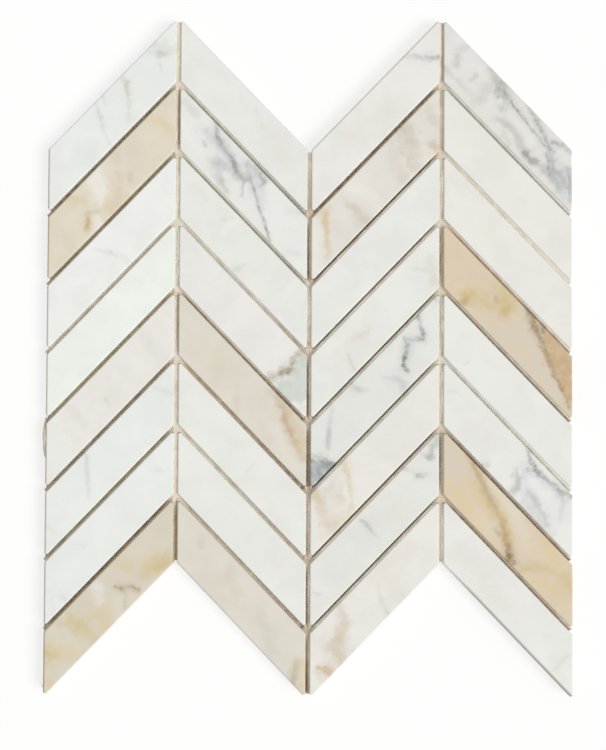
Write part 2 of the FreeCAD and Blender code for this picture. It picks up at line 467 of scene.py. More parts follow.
        band("lilac", (76, 60, 2.8, 0.50), (80, 66, 2.4, 0.40)),
        vein("dark_grey", (73, 85, 1.1, 0.42), (75, 70, 1.5, 0.80), (73.5, 55, 1.7, 0.95),
             (72.5, 42, 1.5, 0.90), (75, 29, 1.2, 0.70), (76.5, 24, 1.0, 0.35)),
        vein("dark_grey", (73.5, 82, 1.1, 0.36), (78, 72, 1.3, 0.42), (83, 62, 1.3, 0.45),
             (88, 51, 1.5, 0.72)),
        vein("dark_grey", (83, 100, 1.4, 0.75), (84.5, 90, 1.2, 0.65), (85, 80, 1.0, 0.32),
             (86, 70, 1.2, 0.58), (88.5, 52, 1.6, 0.80)),
        vein("grey", (96, 99, 1.3, 0.48), (98, 90, 1.2, 0.26)),
    )),
    "chip_column3_row6": Face("cream", (
        band("taupe", (2, 100, 3.6, 0.60), (7, 82, 3.8, 0.55), (10, 56, 3.4, 0.45), (13, 30, 3.4, 0.40)),
        band("blush", (6, 84, 3.4, 0.25), (12, 36, 3.6, 0.35), (20, 8, 4.4, 0.55)),
        band("sand", (16, 92, 5.0, 0.45), (22, 50, 5.0, 0.45)),
        band("sand", (50, 60, 8.0, 0.10), (80, 40, 8.0, 0.16)),
        band("gold", (10, 20, 3.6, 0.10), (30, 12, 4.0, 0.30)),
        band("taupe", (16, 78, 1.6, 0.30), (25, 40, 1.8, 0.30)),
        band("ochre", (1, 102, 2.8, 0.65), (5, 88, 2.6, 0.55), (9, 78, 2.0, 0.25)),
        vein("ochre", (25.5, 98, 2.0, 0.50), (28, 78, 1.8, 0.62), (30, 58, 1.5, 0.45), (31.5, 35, 1.4, 0.32),
             (32, 12, 1.4, 0.25)),
    )),
    "chip_column3_row7": Face("silver", (
        band("sand", (20, 60, 9.0, 0.08), (70, 40, 9.0, 0.14)),
        vein("dark_grey", (39, 88, 1.0, 0.24), (42.5, 76, 1.3, 0.42), (46.5, 58, 1.3, 0.32),
             (50, 41, 1.2, 0.18), (53, 30, 1.0, 0.10)),
        vein("grey", (72, 99, 1.3, 0.34), (76, 87, 1.2, 0.28), (81, 72, 1.3, 0.40), (83, 65, 1.5, 0.90),
             (85.5, 59, 1.4, 0.75), (91, 51, 1.2, 0.22)),
        band("dark_grey", (88, 88, 1.6, 0.24), (92, 76, 2.1, 0.52), (96, 86, 2.0, 0.42),
             (99, 92, 1.8, 0.34)),
        vein("grey", (3, 47, 1.1, 0.24), (8, 35, 1.1, 0.20)),
    )),
    "chip_column3_row8": Face("cream", (
        band("sand", (55, 80, 8.0, 0.30), (70, 20, 8.0, 0.28)),
        band("sand", (6, 70, 6.0, 0.20), (14, 50, 6.0, 0.30)),
        band("taupe", (22, 100, 2.4, 0.45), (25, 80, 2.8, 0.55), (27, 62, 2.8, 0.60), (24, 46, 3.4, 0.75),
             (21, 36, 4.2, 0.80), (23, 14, 4.6, 0.65), (24, 0, 4.6, 0.55)),
        band("blush", (25, 78, 2.0, 0.20), (25, 50, 2.8, 0.45), (21, 36, 3.4, 0.55), (24, 6, 3.8, 0.35)),
        band("blush", (8, 22, 2.6, 0.50), (16, 6, 3.2, 0.50)),
        vein("rust", (6.5, 34, 1.2, 0.55), (11, 20, 1.9, 0.85), (15, 7, 1.8, 0.70)),
        band("olive", (52, 66, 1.0, 0.14), (55, 40, 1.3, 0.28), (60, 6, 1.4, 0.32)),
    )),

    # Column 4, from the top
    "chip_column4_row1": Face("pale_grey", (
        band("lilac", (72, 84, 3.4, 0.25), (84, 54, 6.0, 0.55), (97, 32, 7.0, 0.90)),
        band("pale", (58, 50, 3.4, 0.40), (68, 48, 3.4, 0.40)),
        band("grey", (20, 98, 1.6, 0.25), (10, 72, 1.8, 0.25)),
        band("grey", (11, 66, 2.0, 0.42), (10, 52, 2.2, 0.47)),
        band("grey", (25.5, 62, 1.3, 0.42), (21, 46, 1.4, 0.48)),
        band("grey", (38, 76, 2.4, 0.32), (32, 50, 2.8, 0.35), (26, 22, 2.8, 0.32)),
        band("grey", (0, 23, 1.5, 0.45), (14, 26, 1.5, 0.25), (28, 26, 2.0, 0.20)),
        band("grey", (38, 98, 2.8, 0.50), (44, 88, 3.0, 0.60), (50, 77, 2.8, 0.85)),
        band("grey", (50, 76, 2.0, 0.60), (46, 54, 2.0, 0.48)),
        band("grey", (41, 27, 2.2, 0.38), (48, 34, 2.0, 0.55), (55, 37, 2.0, 0.50), (60, 28, 2.0, 0.55),
             (64, 19, 2.2, 0.65)),
        band("grey", (74, 22, 2.2, 0.55), (82, 26, 2.4, 0.50), (90, 20, 2.6, 0.45)),
        band("olive", (40, 96, 2.4, 0.30), (45, 84, 2.2, 0.30)),
        band("olive", (47, 14, 1.8, 0.35), (51, 6, 1.8, 0.35)),
        vein("dark_grey", (52, 79, 1.1, 0.32), (60, 74, 1.3, 0.42), (66, 69, 1.1, 0.32), (75, 66, 1.2, 0.30),
             (83, 68, 1.4, 0.36)),
        vein("dark_grey", (66, 100, 1.3, 0.34), (73, 88, 1.5, 0.40), (79, 76, 1.5, 0.40),
             (84, 67, 1.3, 0.40)),
        band("dark_grey", (83, 64, 1.8, 0.38), (84, 50, 2.2, 0.44), (86, 38, 2.4, 0.47),
             (95, 38, 2.4, 0.36)),
        vein("dark_grey", (86, 84, 1.4, 0.50), (92, 93, 1.5, 0.46), (100, 97, 1.4, 0.38)),
        band("dark_grey", (97, 64, 1.6, 0.42), (99, 46, 1.8, 0.42), (100, 24, 2.0, 0.36)),
        band("dark_grey", (63, 19, 1.6, 0.45), (68, 18, 2.2, 0.75), (72, 22, 1.6, 0.35)),
        vein("dark_grey", (42, 80, 1.2, 0.36), (42, 64, 1.4, 0.36)),
        vein("dark_grey", (52, 79, 0.6, 0.55), (57, 75, 0.7, 0.75), (62, 71, 0.6, 0.60), (70, 67, 0.5, 0.50),
             (80, 65, 0.6, 0.55), (86, 69, 0.6, 0.55)),
        vein("dark_grey", (67, 100, 0.6, 0.45), (72, 88, 0.6, 0.55), (78, 78, 0.6, 0.55),
             (83, 69, 0.6, 0.50)),
        vein("dark_grey", (80, 54, 0.6, 0.55), (82, 42, 0.7, 0.62), (81, 30, 0.6, 0.50)),
        vein("dark_grey", (88, 46, 0.6, 0.36), (94, 38, 0.6, 0.42), (99, 26, 0.6, 0.32)),
        vein("dark_grey", (45, 92, 1.3, 0.22), (48, 82, 1.3, 0.32)),
        vein("umber", (65, 20, 1.0, 0.18), (69, 16, 1.2, 0.25)),
    )),
    "chip_column4_row2": Face("cream", (
        band("pale", (20, 60, 8.0, 0.30), (70, 50, 8.0, 0.40)),
        band("blush", (30, 50, 5.0, 0.07), (60, 50, 5.0, 0.07)),
    )),
    "chip_column4_row3": Face("cream", (
        band("pale", (20, 60, 8.0, 0.40), (70, 50, 8.0, 0.45)),
        band("blush", (30, 50, 5.0, 0.08), (60, 50, 5.0, 0.08)),
    )),
    "chip_column4_row4": Face("ochre_tan", (
        band("sand", (62, 98, 3.4, 0.90), (66, 70, 4.6, 0.95), (74, 42, 5.0, 0.95), (88, 14, 4.0, 0.90)),
        band("sand", (60, 46, 5.0, 0.90), (46, 32, 5.0, 0.65), (36, 10, 5.0, 0.60), (70, 8, 5.0, 0.70)),
        band("blush", (6, 80, 5.0, 0.20), (26, 74, 6.0, 0.25)),
        band("ochre", (46, 100, 4.6, 0.45), (49, 80, 4.8, 0.95), (48, 64, 4.0, 1.00)),
        band("ochre", (42, 54, 2.4, 0.45), (33, 43, 3.2, 0.75), (25, 36, 3.6, 1.00), (18, 26, 3.0, 1.00),
             (15, 8, 2.4, 0.80)),
        zone("rust", (87, 102, 8.6, 0.82), (90, 74, 7.4, 0.88), (96, 46, 4.6, 0.86), (101, 30, 1.8, 0.75)),
        band("rust", (50, 74, 2.2, 0.25), (47, 58, 2.4, 0.45)),
        band("rust", (18, 26, 1.8, 0.20), (15, 8, 1.8, 0.30)),
        band("rust", (66, 100, 1.8, 0.35), (71, 88, 2.0, 0.50), (76, 72, 1.6, 0.30)),
        band("blush", (85, 57, 1.3, 0.55), (87, 48, 1.3, 0.55)),
        vein("umber", (66, 100, 1.8, 0.45), (71, 90, 2.1, 0.75), (74, 78, 1.6, 0.58), (79, 64, 1.4, 0.38),
             (84, 48, 1.4, 0.48), (89, 38, 1.2, 0.40), (98, 17, 1.2, 0.42)),
        vein("umber", (78, 99, 1.7, 0.60), (76.5, 88, 1.4, 0.42)),
        vein("umber", (40, 69, 1.1, 0.25), (41, 64, 1.1, 0.25)),
        vein("umber", (18, 20, 1.0, 0.28), (16, 9, 1.3, 0.42)),
    )),
    "chip_column4_row5": Face("plain_white", (
        band("grey", (19, 32, 1.0, 0.20), (16.5, 22, 1.0, 0.20)),
    )),
    "chip_column4_row6": Face("plain_white", (
        band("lilac", (62, 70, 2.4, 0.40), (64, 36, 3.0, 0.45), (76, 14, 4.4, 0.35)),
        band("lilac", (72, 72, 2.4, 0.35), (92, 80, 2.8, 0.45)),
        band("sand", (20, 50, 8.0, 0.10), (40, 50, 8.0, 0.10)),
        vein("dark_grey", (65, 99, 1.2, 0.36), (68, 88, 1.3, 0.55), (71, 79, 1.6, 0.90), (75, 79, 1.5, 0.60),
             (82, 84, 1.6, 0.48), (92, 88, 1.6, 0.55), (99, 97, 1.8, 0.50)),
        vein("dark_grey", (71, 78, 1.3, 0.60), (66, 70, 1.3, 0.45), (62.5, 60, 1.2, 0.18)),
        band("dark_grey", (57, 50, 1.3, 0.26), (58.5, 38, 1.6, 0.44), (57, 22, 1.8, 0.50),
             (53, 7, 1.7, 0.36)),
        band("dark_grey", (55, 44, 1.0, 0.24), (54, 36, 1.2, 0.30)),
        band("dark_grey", (66, 36, 1.3, 0.24), (69, 30, 1.7, 0.46), (75, 26, 1.5, 0.26),
             (81, 14, 1.4, 0.20)),
        vein("dark_grey", (34, 11, 1.2, 0.30), (31, 3, 1.2, 0.34)),
        band("grey", (93, 84, 1.2, 0.30), (91, 44, 1.4, 0.22)),
        band("grey", (62, 8, 2.4, 0.30), (74, 8, 2.6, 0.25), (84, 6, 2.2, 0.20)),
        band("olive", (10, 76, 1.0, 0.16), (3, 60, 1.0, 0.14)),
    )),
    "chip_column4_row7": Face("ochre_tan", (
        band("sand", (4, 90, 5.6, 0.85), (9, 52, 7.0, 0.95)),
        band("tan", (36, 98, 3.0, 0.75), (54, 84, 5.0, 0.90), (64, 60, 4.6, 0.45)),
        band("sand", (44, 94, 4.0, 0.40), (56, 76, 4.4, 0.50)),
        band("tan", (28, 34, 4.0, 0.50), (38, 20, 3.6, 0.50)),
        band("honey", (4, 24, 3.0, 0.40), (15, 15, 3.4, 0.40), (30, 9, 3.6, 0.50)),
        band("gold", (8, 26, 3.0, 0.30), (18, 16, 3.6, 0.45)),
        band("gold", (22, 64, 2.6, 0.50), (28, 53, 3.0, 0.70), (37, 45, 3.0, 0.70)),
        band("gold", (72, 20, 3.4, 0.45), (88, 30, 3.6, 0.50)),
        band("gold", (80, 96, 3.4, 0.55), (88, 80, 3.4, 0.65)),
        band("ochre", (59, 5, 2.4, 0.60), (67, 27, 2.6, 0.70), (74, 45, 2.6, 0.65), (80, 53, 3.0, 0.55)),
        band("ochre", (92, 68, 2.6, 0.65), (98, 60, 3.4, 0.90)),
        band("ochre", (38, 74, 2.4, 0.55), (47, 58, 2.8, 0.75), (51, 38, 2.4, 0.60)),
        band("rust", (20, 99, 1.5, 0.60), (27, 88, 1.8, 0.65), (32, 78, 1.9, 0.62), (36.5, 68, 2.1, 0.65),
             (42, 61, 2.0, 0.60), (45.5, 51, 2.2, 0.80), (48, 36, 2.5, 1.00), (50, 20, 2.4, 0.95),
             (51, 8, 2.0, 0.90)),
        vein("umber", (23, 95, 1.0, 0.22), (28, 86, 1.1, 0.24), (36, 69, 1.3, 0.16), (42, 61, 1.1, 0.12)),
        vein("umber", (47, 46, 1.1, 0.14), (49, 30, 1.2, 0.18), (51, 12, 2.2, 0.85), (54, 7, 1.7, 0.60)),
        vein("umber", (40, 32, 1.2, 0.20), (43, 26, 1.2, 0.20)),
        vein("ochre", (25, 71, 0.7, 0.40), (33, 59, 0.8, 0.50), (40, 46, 0.7, 0.45)),
        vein("ochre", (60, 4, 0.8, 0.85), (66, 23, 0.9, 0.90), (73, 41, 0.9, 0.85), (80, 52, 0.8, 0.70),
             (88, 60, 0.7, 0.55)),
    )),
    "chip_column4_row8": Face("plain_white", (
        band("olive", (96, 60, 1.0, 0.18), (90, 36, 1.2, 0.25), (86, 16, 1.2, 0.18)),
        band("sand", (15, 50, 9.0, 0.14), (55, 50, 9.0, 0.14)),
        band("blush", (10, 40, 6.0, 0.10), (40, 30, 6.0, 0.10)),
    )),
}
# Painted shade along outer edges that face away from the key light, where the shaded sides of the chips show
# from above: the left side of the sheet, and three of its slopes
OUTER_EDGE_SHADE = {
    **{f"chip_column1_row{row}": edge("umber", (0, -2, 0.8, 0.54), (0, 102, 0.8, 0.54))
       for row in range(1, ROWS + 1)},
    "chip_column2_row8": edge("umber", (0, 0, 0.9, 0.14), (102, 0, 0.9, 0.14)),
    "chip_column3_row1": edge("umber", (0, 100, 0.8, 0.26), (100, 100, 0.8, 0.26)),
    "chip_column4_row8": edge("umber", (0, 0, 1.0, 0.20), (22, 0, 1.3, 0.62), (102, 0, 1.3, 0.72)),
}


def set_inputs(tree, node, inputs):
    """Sets inputs of a node. Each is a value, an output to link, or a node whose main output is linked."""
    for name, value in inputs.items():
        if isinstance(value, bpy.types.Node):
            value = next(output for output in value.outputs if output.enabled)
        if isinstance(value, bpy.types.NodeSocket):
            tree.links.new(value, node.inputs[name])
        else:
            node.inputs[name].default_value = value


def add_node(tree, kind, inputs=None, **settings):
    """Adds one node with its settings and inputs."""
    node = tree.nodes.new(kind)
    for name, value in settings.items():
        setattr(node, name, value)
    set_inputs(tree, node, inputs or {})
    return node


def new_group(name, inputs, outputs):
    """An empty shader node group with its sockets, given as names and kinds."""
    tree = bpy.data.node_groups.new(name, "ShaderNodeTree")
    for direction, sockets in (("INPUT", inputs), ("OUTPUT", outputs)):
        for socket, kind in sockets.items():
            tree.interface.new_socket(socket, in_out=direction, socket_type=f"NodeSocket{kind}")
    return tree


def new_material(name):
    """An empty material with its output node."""
    material = bpy.data.materials.new(name)
    material.use_nodes = True
    material.node_tree.nodes.clear()
    output = material.node_tree.nodes.new("ShaderNodeOutputMaterial")
    return material, material.node_tree, output


# Marble

# Its patterns, with sizes in mm. Veins and bands stray over some sizes, each by a share of the wander, and
# they break up over a size, where a least share of them stays
STRAYS = {"Vein": ((9, 1.0), (1.6, 0.22)), "Band": ((9, 1.0), (4, 1.1))}
BREAKS = {"Vein": (2.5, 0.5), "Band": (5, 0.65)}
SWELL_SIZE = 5
LEAST_SWELL, MOST_SWELL = 0.7, 1.35
# A halo reaches so many half widths, and a mark leans by so much for each mm of depth
HALO_REACH = 3.2
VEIN_LEAN = (0.35, -0.2, -1.0)
CLOUD_SIZE = 18
CLOUD_LIGHT, CLOUD_DARK = 1.012, 0.965
HAIR_LINE_SIZE = 26
HAIR_LINE_REACH = 0.018
HAIR_LINE_STRENGTH = 0.04
GRAIN_SIZE = 0.7
GRAIN_LIGHT, GRAIN_DARK = 1.01, 0.985
# Upward part of the normal, up to which a side counts as sawn and from which an edge counts as polished
SIDE_LOOKS_UP, EDGE_LOOKS_UP = 0.3, 0.5
# Saw marks repeat so many times in a mm: long in plan, and close in height
SAW_MARK_REPEATS = (0.12, 0.12, 2.0)
# Adhesive on the sides: a noise lifts its ragged top by up to its height, and it fades between two levels
SMEAR_SIZE = 4
SMEAR_HEIGHT = 7.0
SMEAR_TOP, SMEAR_FULL = 2.6, -1.6


def vein_stretch_group():
    """One straight stretch of a vein, full within its half width and gone a little past it. Places are in mm.

    It gives the larger of its own mask and the mask that it is given, so that stretches are chained.
    """
    tree = new_group(
        "vein_stretch",
        {
            "Place": "Vector", "Swell": "Float", "Breaks": "Float", "Start": "Vector", "Run": "Vector",
            "Start Width": "Float", "End Width": "Float", "Start Strength": "Float", "End Strength": "Float",
            "Softness": "Float", "Halo": "Float", "Mask": "Float",
        },
        {"Mask": "Float"},
    )
    given = add_node(tree, "NodeGroupInput").outputs
    offset = add_node(tree, "ShaderNodeVectorMath", {
        0: given["Place"], 1: given["Start"]}, operation="SUBTRACT")
    forward = add_node(tree, "ShaderNodeVectorMath", {0: offset, 1: given["Run"]}, operation="DOT_PRODUCT")
    square = add_node(tree, "ShaderNodeVectorMath", {
        0: given["Run"], 1: given["Run"]}, operation="DOT_PRODUCT")
    share = add_node(tree, "ShaderNodeMath", {0: forward, 1: square}, operation="DIVIDE", use_clamp=True)
    nearest = add_node(tree, "ShaderNodeVectorMath", {0: given["Run"], "Scale": share}, operation="SCALE")
    away = add_node(tree, "ShaderNodeVectorMath", {0: offset, 1: nearest}, operation="DISTANCE")
    width = add_node(tree, "ShaderNodeMapRange", {
        "Value": share, "To Min": given["Start Width"], "To Max": given["End Width"]})
    swollen = add_node(tree, "ShaderNodeMath", {0: width, 1: given["Swell"]}, operation="MULTIPLY")
    fade = add_node(tree, "ShaderNodeMath", {0: swollen, 1: given["Softness"]}, operation="MULTIPLY")
    outer = add_node(tree, "ShaderNodeMath", {0: swollen, 1: fade}, operation="ADD")
    inner = add_node(tree, "ShaderNodeMath", {0: swollen, 1: fade}, operation="SUBTRACT")
    strength = add_node(tree, "ShaderNodeMapRange", {
        "Value": share, "To Min": given["Start Strength"], "To Max": given["End Strength"]})
    broken = add_node(tree, "ShaderNodeMath", {0: strength, 1: given["Breaks"]}, operation="MULTIPLY")
    mask = add_node(tree, "ShaderNodeMapRange", {
        "Value": away, "From Min": outer, "From Max": inner, "To Max": broken},
        interpolation_type="SMOOTHSTEP")
    # A faint halo lies beside it
    far = add_node(tree, "ShaderNodeMath", {0: swollen, 1: HALO_REACH}, operation="MULTIPLY")
    faint = add_node(tree, "ShaderNodeMath", {0: strength, 1: given["Halo"]}, operation="MULTIPLY")
    halo = add_node(tree, "ShaderNodeMapRange", {
        "Value": away, "From Min": far, "From Max": 0.0, "To Max": faint}, interpolation_type="SMOOTHSTEP")
    whole = add_node(tree, "ShaderNodeMath", {0: mask, 1: halo}, operation="MAXIMUM")
    larger = add_node(tree, "ShaderNodeMath", {0: whole, 1: given["Mask"]}, operation="MAXIMUM")
    add_node(tree, "NodeGroupOutput", {"Mask": larger})
    return tree


def marble_ground_group(finish):
    """Patterns that every chip shares, at their real sizes. The place that it is given is in metres."""
    tree = new_group(
        "marble_ground",
        {"Place": "Vector"},
        {
            "Vein Place": "Vector", "Vein Breaks": "Float", "Band Place": "Vector", "Band Breaks": "Float",
            "Plain Place": "Vector", "Swell": "Float", "Cloud": "Float", "Threads": "Float",
            "Crystal": "Float", "Stain": "Float", "Roughness": "Float", "Normal": "Vector",
        },
    )
    given = add_node(tree, "NodeGroupInput").outputs
    place = add_node(tree, "ShaderNodeVectorMath", {0: given["Place"], "Scale": 1 / MM}, operation="SCALE")
    parts = add_node(tree, "ShaderNodeSeparateXYZ", {0: place})

    # Veins are sheets that lean through the thickness, so the sides show them too
    depth = add_node(tree, "ShaderNodeMath", {0: parts.outputs["Z"], 1: FACE_TOP / MM}, operation="SUBTRACT")
    lean = add_node(tree, "ShaderNodeVectorMath", {0: VEIN_LEAN, "Scale": depth}, operation="SCALE")
    flat = add_node(tree, "ShaderNodeVectorMath", {0: place, 1: lean}, operation="ADD")

    # Veins stray slowly and are ragged in small steps, bands stray in broad ones
    reach = 2 * finish.wander / MM
    moved = {}
    for kind, sizes in STRAYS.items():
        moved[kind] = flat
        for size, share in sizes:
            texture = add_node(tree, "ShaderNodeTexNoise", {
                "Vector": flat, "Scale": 1 / size, "Detail": 2.0})
            centred = add_node(tree, "ShaderNodeVectorMath", {
                0: texture.outputs["Color"], 1: (0.5, 0.5, 0.5)}, operation="SUBTRACT")
            scaled = add_node(tree, "ShaderNodeVectorMath", {
                0: centred, 1: (reach * share, reach * share, 0)}, operation="MULTIPLY")
            moved[kind] = add_node(tree, "ShaderNodeVectorMath", {
                0: moved[kind], 1: scaled}, operation="ADD")

    # They swell and pinch, and they break up
    swelling = add_node(tree, "ShaderNodeTexNoise", {"Vector": flat, "Scale": 1 / SWELL_SIZE, "Detail": 2.0})
    swell = add_node(tree, "ShaderNodeMapRange", {
        "Value": swelling, "From Min": 0.3, "From Max": 0.7, "To Min": LEAST_SWELL, "To Max": MOST_SWELL})
    breaks = {}
    for kind, (size, least) in BREAKS.items():
        texture = add_node(tree, "ShaderNodeTexNoise", {"Vector": flat, "Scale": 1 / size, "Detail": 3.0})
        breaks[kind] = add_node(tree, "ShaderNodeMapRange", {
            "Value": texture, "From Min": 0.34, "From Max": 0.6, "To Min": least})

    # Cloudy ground, with faint hair lines where a slow noise crosses its middle
    clouds = add_node(tree, "ShaderNodeTexNoise", {
        "Vector": flat, "Scale": 1 / CLOUD_SIZE, "Detail": 3.0, "Distortion": 0.6})
    cloud = add_node(tree, "ShaderNodeMapRange", {"Value": clouds, "From Min": 0.36, "From Max": 0.64})
    lines = add_node(tree, "ShaderNodeTexNoise", {
        "Vector": moved["Vein"], "Scale": 1 / HAIR_LINE_SIZE, "Detail": 2.0})
    level = add_node(tree, "ShaderNodeMath", {0: lines, 1: 0.5, 2: HAIR_LINE_REACH}, operation="COMPARE")
    thread = add_node(tree, "ShaderNodeMath", {0: level, 1: cloud}, operation="MULTIPLY")

    # Calcite grains
    grains = add_node(tree, "ShaderNodeTexVoronoi", {"Vector": place, "Scale": 1 / GRAIN_SIZE})

    # Sawn sides, told from the polished face and its eased edge by the way they look
    facing = add_node(tree, "ShaderNodeNewGeometry")
    upward = add_node(tree, "ShaderNodeSeparateXYZ", {0: facing.outputs["Normal"]})
    sawn = add_node(tree, "ShaderNodeMapRange", {
        "Value": upward.outputs["Z"], "From Min": EDGE_LOOKS_UP, "From Max": SIDE_LOOKS_UP})
    roughness = add_node(tree, "ShaderNodeMapRange", {
        "Value": sawn, "To Min": finish.polish, "To Max": finish.sawn})

    # Saw marks run along the sides, and the edges are worn round
    stretched = add_node(tree, "ShaderNodeVectorMath", {0: place, 1: SAW_MARK_REPEATS}, operation="MULTIPLY")
    marks = add_node(tree, "ShaderNodeTexNoise", {"Vector": stretched, "Scale": 1.0, "Detail": 3.0})
    relief = add_node(tree, "ShaderNodeMath", {0: marks, 1: sawn}, operation="MULTIPLY")
    worn = add_node(tree, "ShaderNodeBevel", {"Radius": finish.worn_edge}, samples=4)
    bump = add_node(tree, "ShaderNodeBump", {"Distance": finish.saw_depth, "Height": relief, "Normal": worn})

    # Adhesive smeared on the foot of the sides, to a ragged height
    smear = add_node(tree, "ShaderNodeTexNoise", {"Vector": place, "Scale": 1 / SMEAR_SIZE, "Detail": 3.0})
    height = add_node(tree, "ShaderNodeMath", {
        0: smear, 1: -SMEAR_HEIGHT, 2: parts.outputs["Z"]}, operation="MULTIPLY_ADD")
    foot = add_node(tree, "ShaderNodeMapRange", {
        "Value": height, "From Min": SMEAR_TOP, "From Max": SMEAR_FULL, "To Max": finish.stain})
    stain = add_node(tree, "ShaderNodeMath", {0: foot, 1: sawn}, operation="MULTIPLY")

    add_node(tree, "NodeGroupOutput", {
        "Vein Place": moved["Vein"], "Vein Breaks": breaks["Vein"], "Band Place": moved["Band"],
        "Band Breaks": breaks["Band"], "Plain Place": flat, "Swell": swell, "Cloud": cloud, "Threads": thread,
        "Crystal": grains, "Stain": stain, "Roughness": roughness, "Normal": bump,
    })
    return tree


def face_place(chip, along, across):
    """A place on a chip's face in mm, from percent along it and percent across it."""
    low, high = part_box(chip)
    middle = (low + high) / 2
    column = int(chip[len("chip_column")]) - 1
    x = (along / 100 - 0.5) * CHIP_SPAN
    y = column_climb(column) * x + (across / 100 - 0.5) * CHIP_END
    return Vector((middle.x + x, middle.y + y, FACE_TOP)) / MM


def marble_material(chip, face, tones, finish, ground_group, stretch_group):
    """Gold and grey veined white marble, sawn from a slab and polished on its face.

    The eye sees a pale cloudy ground with fine grains, veins that run through the thickness, a soft gloss on
    the face, and matt sides with saw marks and some adhesive at their foot.
    """
    material, tree, output = new_material(f"polished_marble_{chip[len('chip_'):]}")
    coordinates = add_node(tree, "ShaderNodeTexCoord")
    place = {"Place": coordinates.outputs["Object"]}
    pattern = add_node(tree, "ShaderNodeGroup", place, node_tree=ground_group).outputs

    # Cloudy ground and hair lines
    tone = Vector(getattr(tones, face.ground))
    colour = add_node(tree, "ShaderNodeMix", {
        0: pattern["Cloud"], COLOUR_A: (*(tone * CLOUD_LIGHT), 1), COLOUR_B: (*(tone * CLOUD_DARK), 1)},
        data_type="RGBA")
    hair = add_node(tree, "ShaderNodeMath", {
        0: pattern["Threads"], 1: HAIR_LINE_STRENGTH}, operation="MULTIPLY")
    colour = add_node(tree, "ShaderNodeMix", {
        0: hair, COLOUR_A: colour, COLOUR_B: (*tones.taupe, 1)}, data_type="RGBA")

    # Marks, in the order that they lie over each other
    # Painted shade along outer edges that face away from the light is laid with the marks
    marks = face.marks + ((OUTER_EDGE_SHADE[chip],) if chip in OUTER_EDGE_SHADE else ())
    for paint in dict.fromkeys(mark.colour for mark in marks):
        mask = 0.0
        for mark in marks:
            if mark.colour != paint:
                continue
            for first, second in zip(mark.points, mark.points[1:]):
                start = face_place(chip, *first[:2])
                run = face_place(chip, *second[:2]) - start
                # Painted edge shade neither swells nor breaks up
                even = mark.kind is EDGE_SHADE
                stretch = {
                    "Place": pattern[f"{mark.kind.pattern} Place"], "Start": start, "Run": run,
                    "Swell": 1.0 if even else pattern["Swell"],
                    "Breaks": 1.0 if even else pattern[f"{mark.kind.pattern} Breaks"],
                    "Start Width": first[2], "End Width": second[2], "Start Strength": first[3],
                    "End Strength": second[3], "Softness": mark.kind.softness, "Halo": mark.kind.halo,
                    "Mask": mask,
                }
                mask = add_node(tree, "ShaderNodeGroup", stretch, node_tree=stretch_group)
        colour = add_node(tree, "ShaderNodeMix", {
            0: mask, COLOUR_A: colour, COLOUR_B: (*getattr(tones, paint), 1)}, data_type="RGBA")

    # Grains, then the stained foot of the sides
    grain = add_node(tree, "ShaderNodeMapRange", {
        "Value": pattern["Crystal"], "From Max": 0.8, "To Min": GRAIN_LIGHT, "To Max": GRAIN_DARK})
    grainy = add_node(tree, "ShaderNodeVectorMath", {0: colour, "Scale": grain}, operation="SCALE")
    stained = add_node(tree, "ShaderNodeMix", {
        0: pattern["Stain"], COLOUR_A: grainy, COLOUR_B: (*finish.stain_colour, 1)}, data_type="RGBA")

    shader = add_node(tree, "ShaderNodeBsdfPrincipled", {
        "Base Color": stained, "Roughness": pattern["Roughness"], "Normal": pattern["Normal"], "IOR": 1.49})
    set_inputs(tree, output, {"Surface": shader})
    return material


class TILE_OT_marble_chips(bpy.types.Operator):
    """Give every chip its own polished marble"""

    bl_idname = "tile.marble_chips"
    bl_label = "Marble Chips"

    def execute(self, context):
        tones = context.scene.tile_tones
        finish = context.scene.tile_finish
        ground_group = marble_ground_group(finish)
        stretch_group = vein_stretch_group()
        for chip, face in FACES.items():
            material = marble_material(chip, face, tones, finish, ground_group, stretch_group)
            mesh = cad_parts[chip].data
            mesh.materials.clear()
            mesh.materials.append(material)
        return {"FINISHED"}


# Net and adhesive

THREAD_SIDES = 6
YARN_SIDES = 5
# Repeats of the weave past the size of the sheet, and the sizes over which it strays
SPARE_REPEATS = 3
STRAY_SIZES = {"X": 26 * MM, "Y": 34 * MM}
# The coat of the yarn is patchy over a size, and darker where it is thin
COAT_SIZE_MM = 3
THIN_COAT = 0.72
FILAMENT_MM = 0.12
FILAMENT_DEPTH = 0.02 * MM
ARRAY_MERGE = 0.01 * MM
NET_SMOOTH_ANGLE = math.radians(60)


@contextmanager
def edit_mode():
    """Edit mode of the active piece, with its whole mesh selected."""
    bpy.ops.object.mode_set(mode="EDIT")
    bpy.ops.mesh.select_all(action="SELECT")
    yield
    bpy.ops.object.mode_set(mode="OBJECT")


def apply_modifier(piece, kind, **settings):
    """Adds a modifier with its settings and applies it."""
    modifier = piece.modifiers.new(kind.lower(), kind)
    for name, value in settings.items():
        setattr(modifier, name, value)
    bpy.context.view_layer.objects.active = piece
    bpy.ops.object.modifier_apply(modifier=modifier.name)


def join_pieces(pieces, name):
    """Joins pieces into the first one and names it."""
    bpy.ops.object.select_all(action="DESELECT")
    for piece in pieces:
        piece.select_set(True)
    bpy.context.view_layer.objects.active = pieces[0]
    bpy.ops.object.join()
    pieces[0].name = name
    pieces[0].data.name = name
    return pieces[0]


def select_ring(piece, axis, place):
    """Selects the vertices of a piece in edit mode that lie at one place along an axis."""
    mesh = bmesh.from_edit_mesh(piece.data)
    for vertex in mesh.verts:
        vertex.select = abs(vertex.co[axis] - place) < SAME_PLACE
    mesh.select_flush_mode()
    bmesh.update_edit_mesh(piece.data)


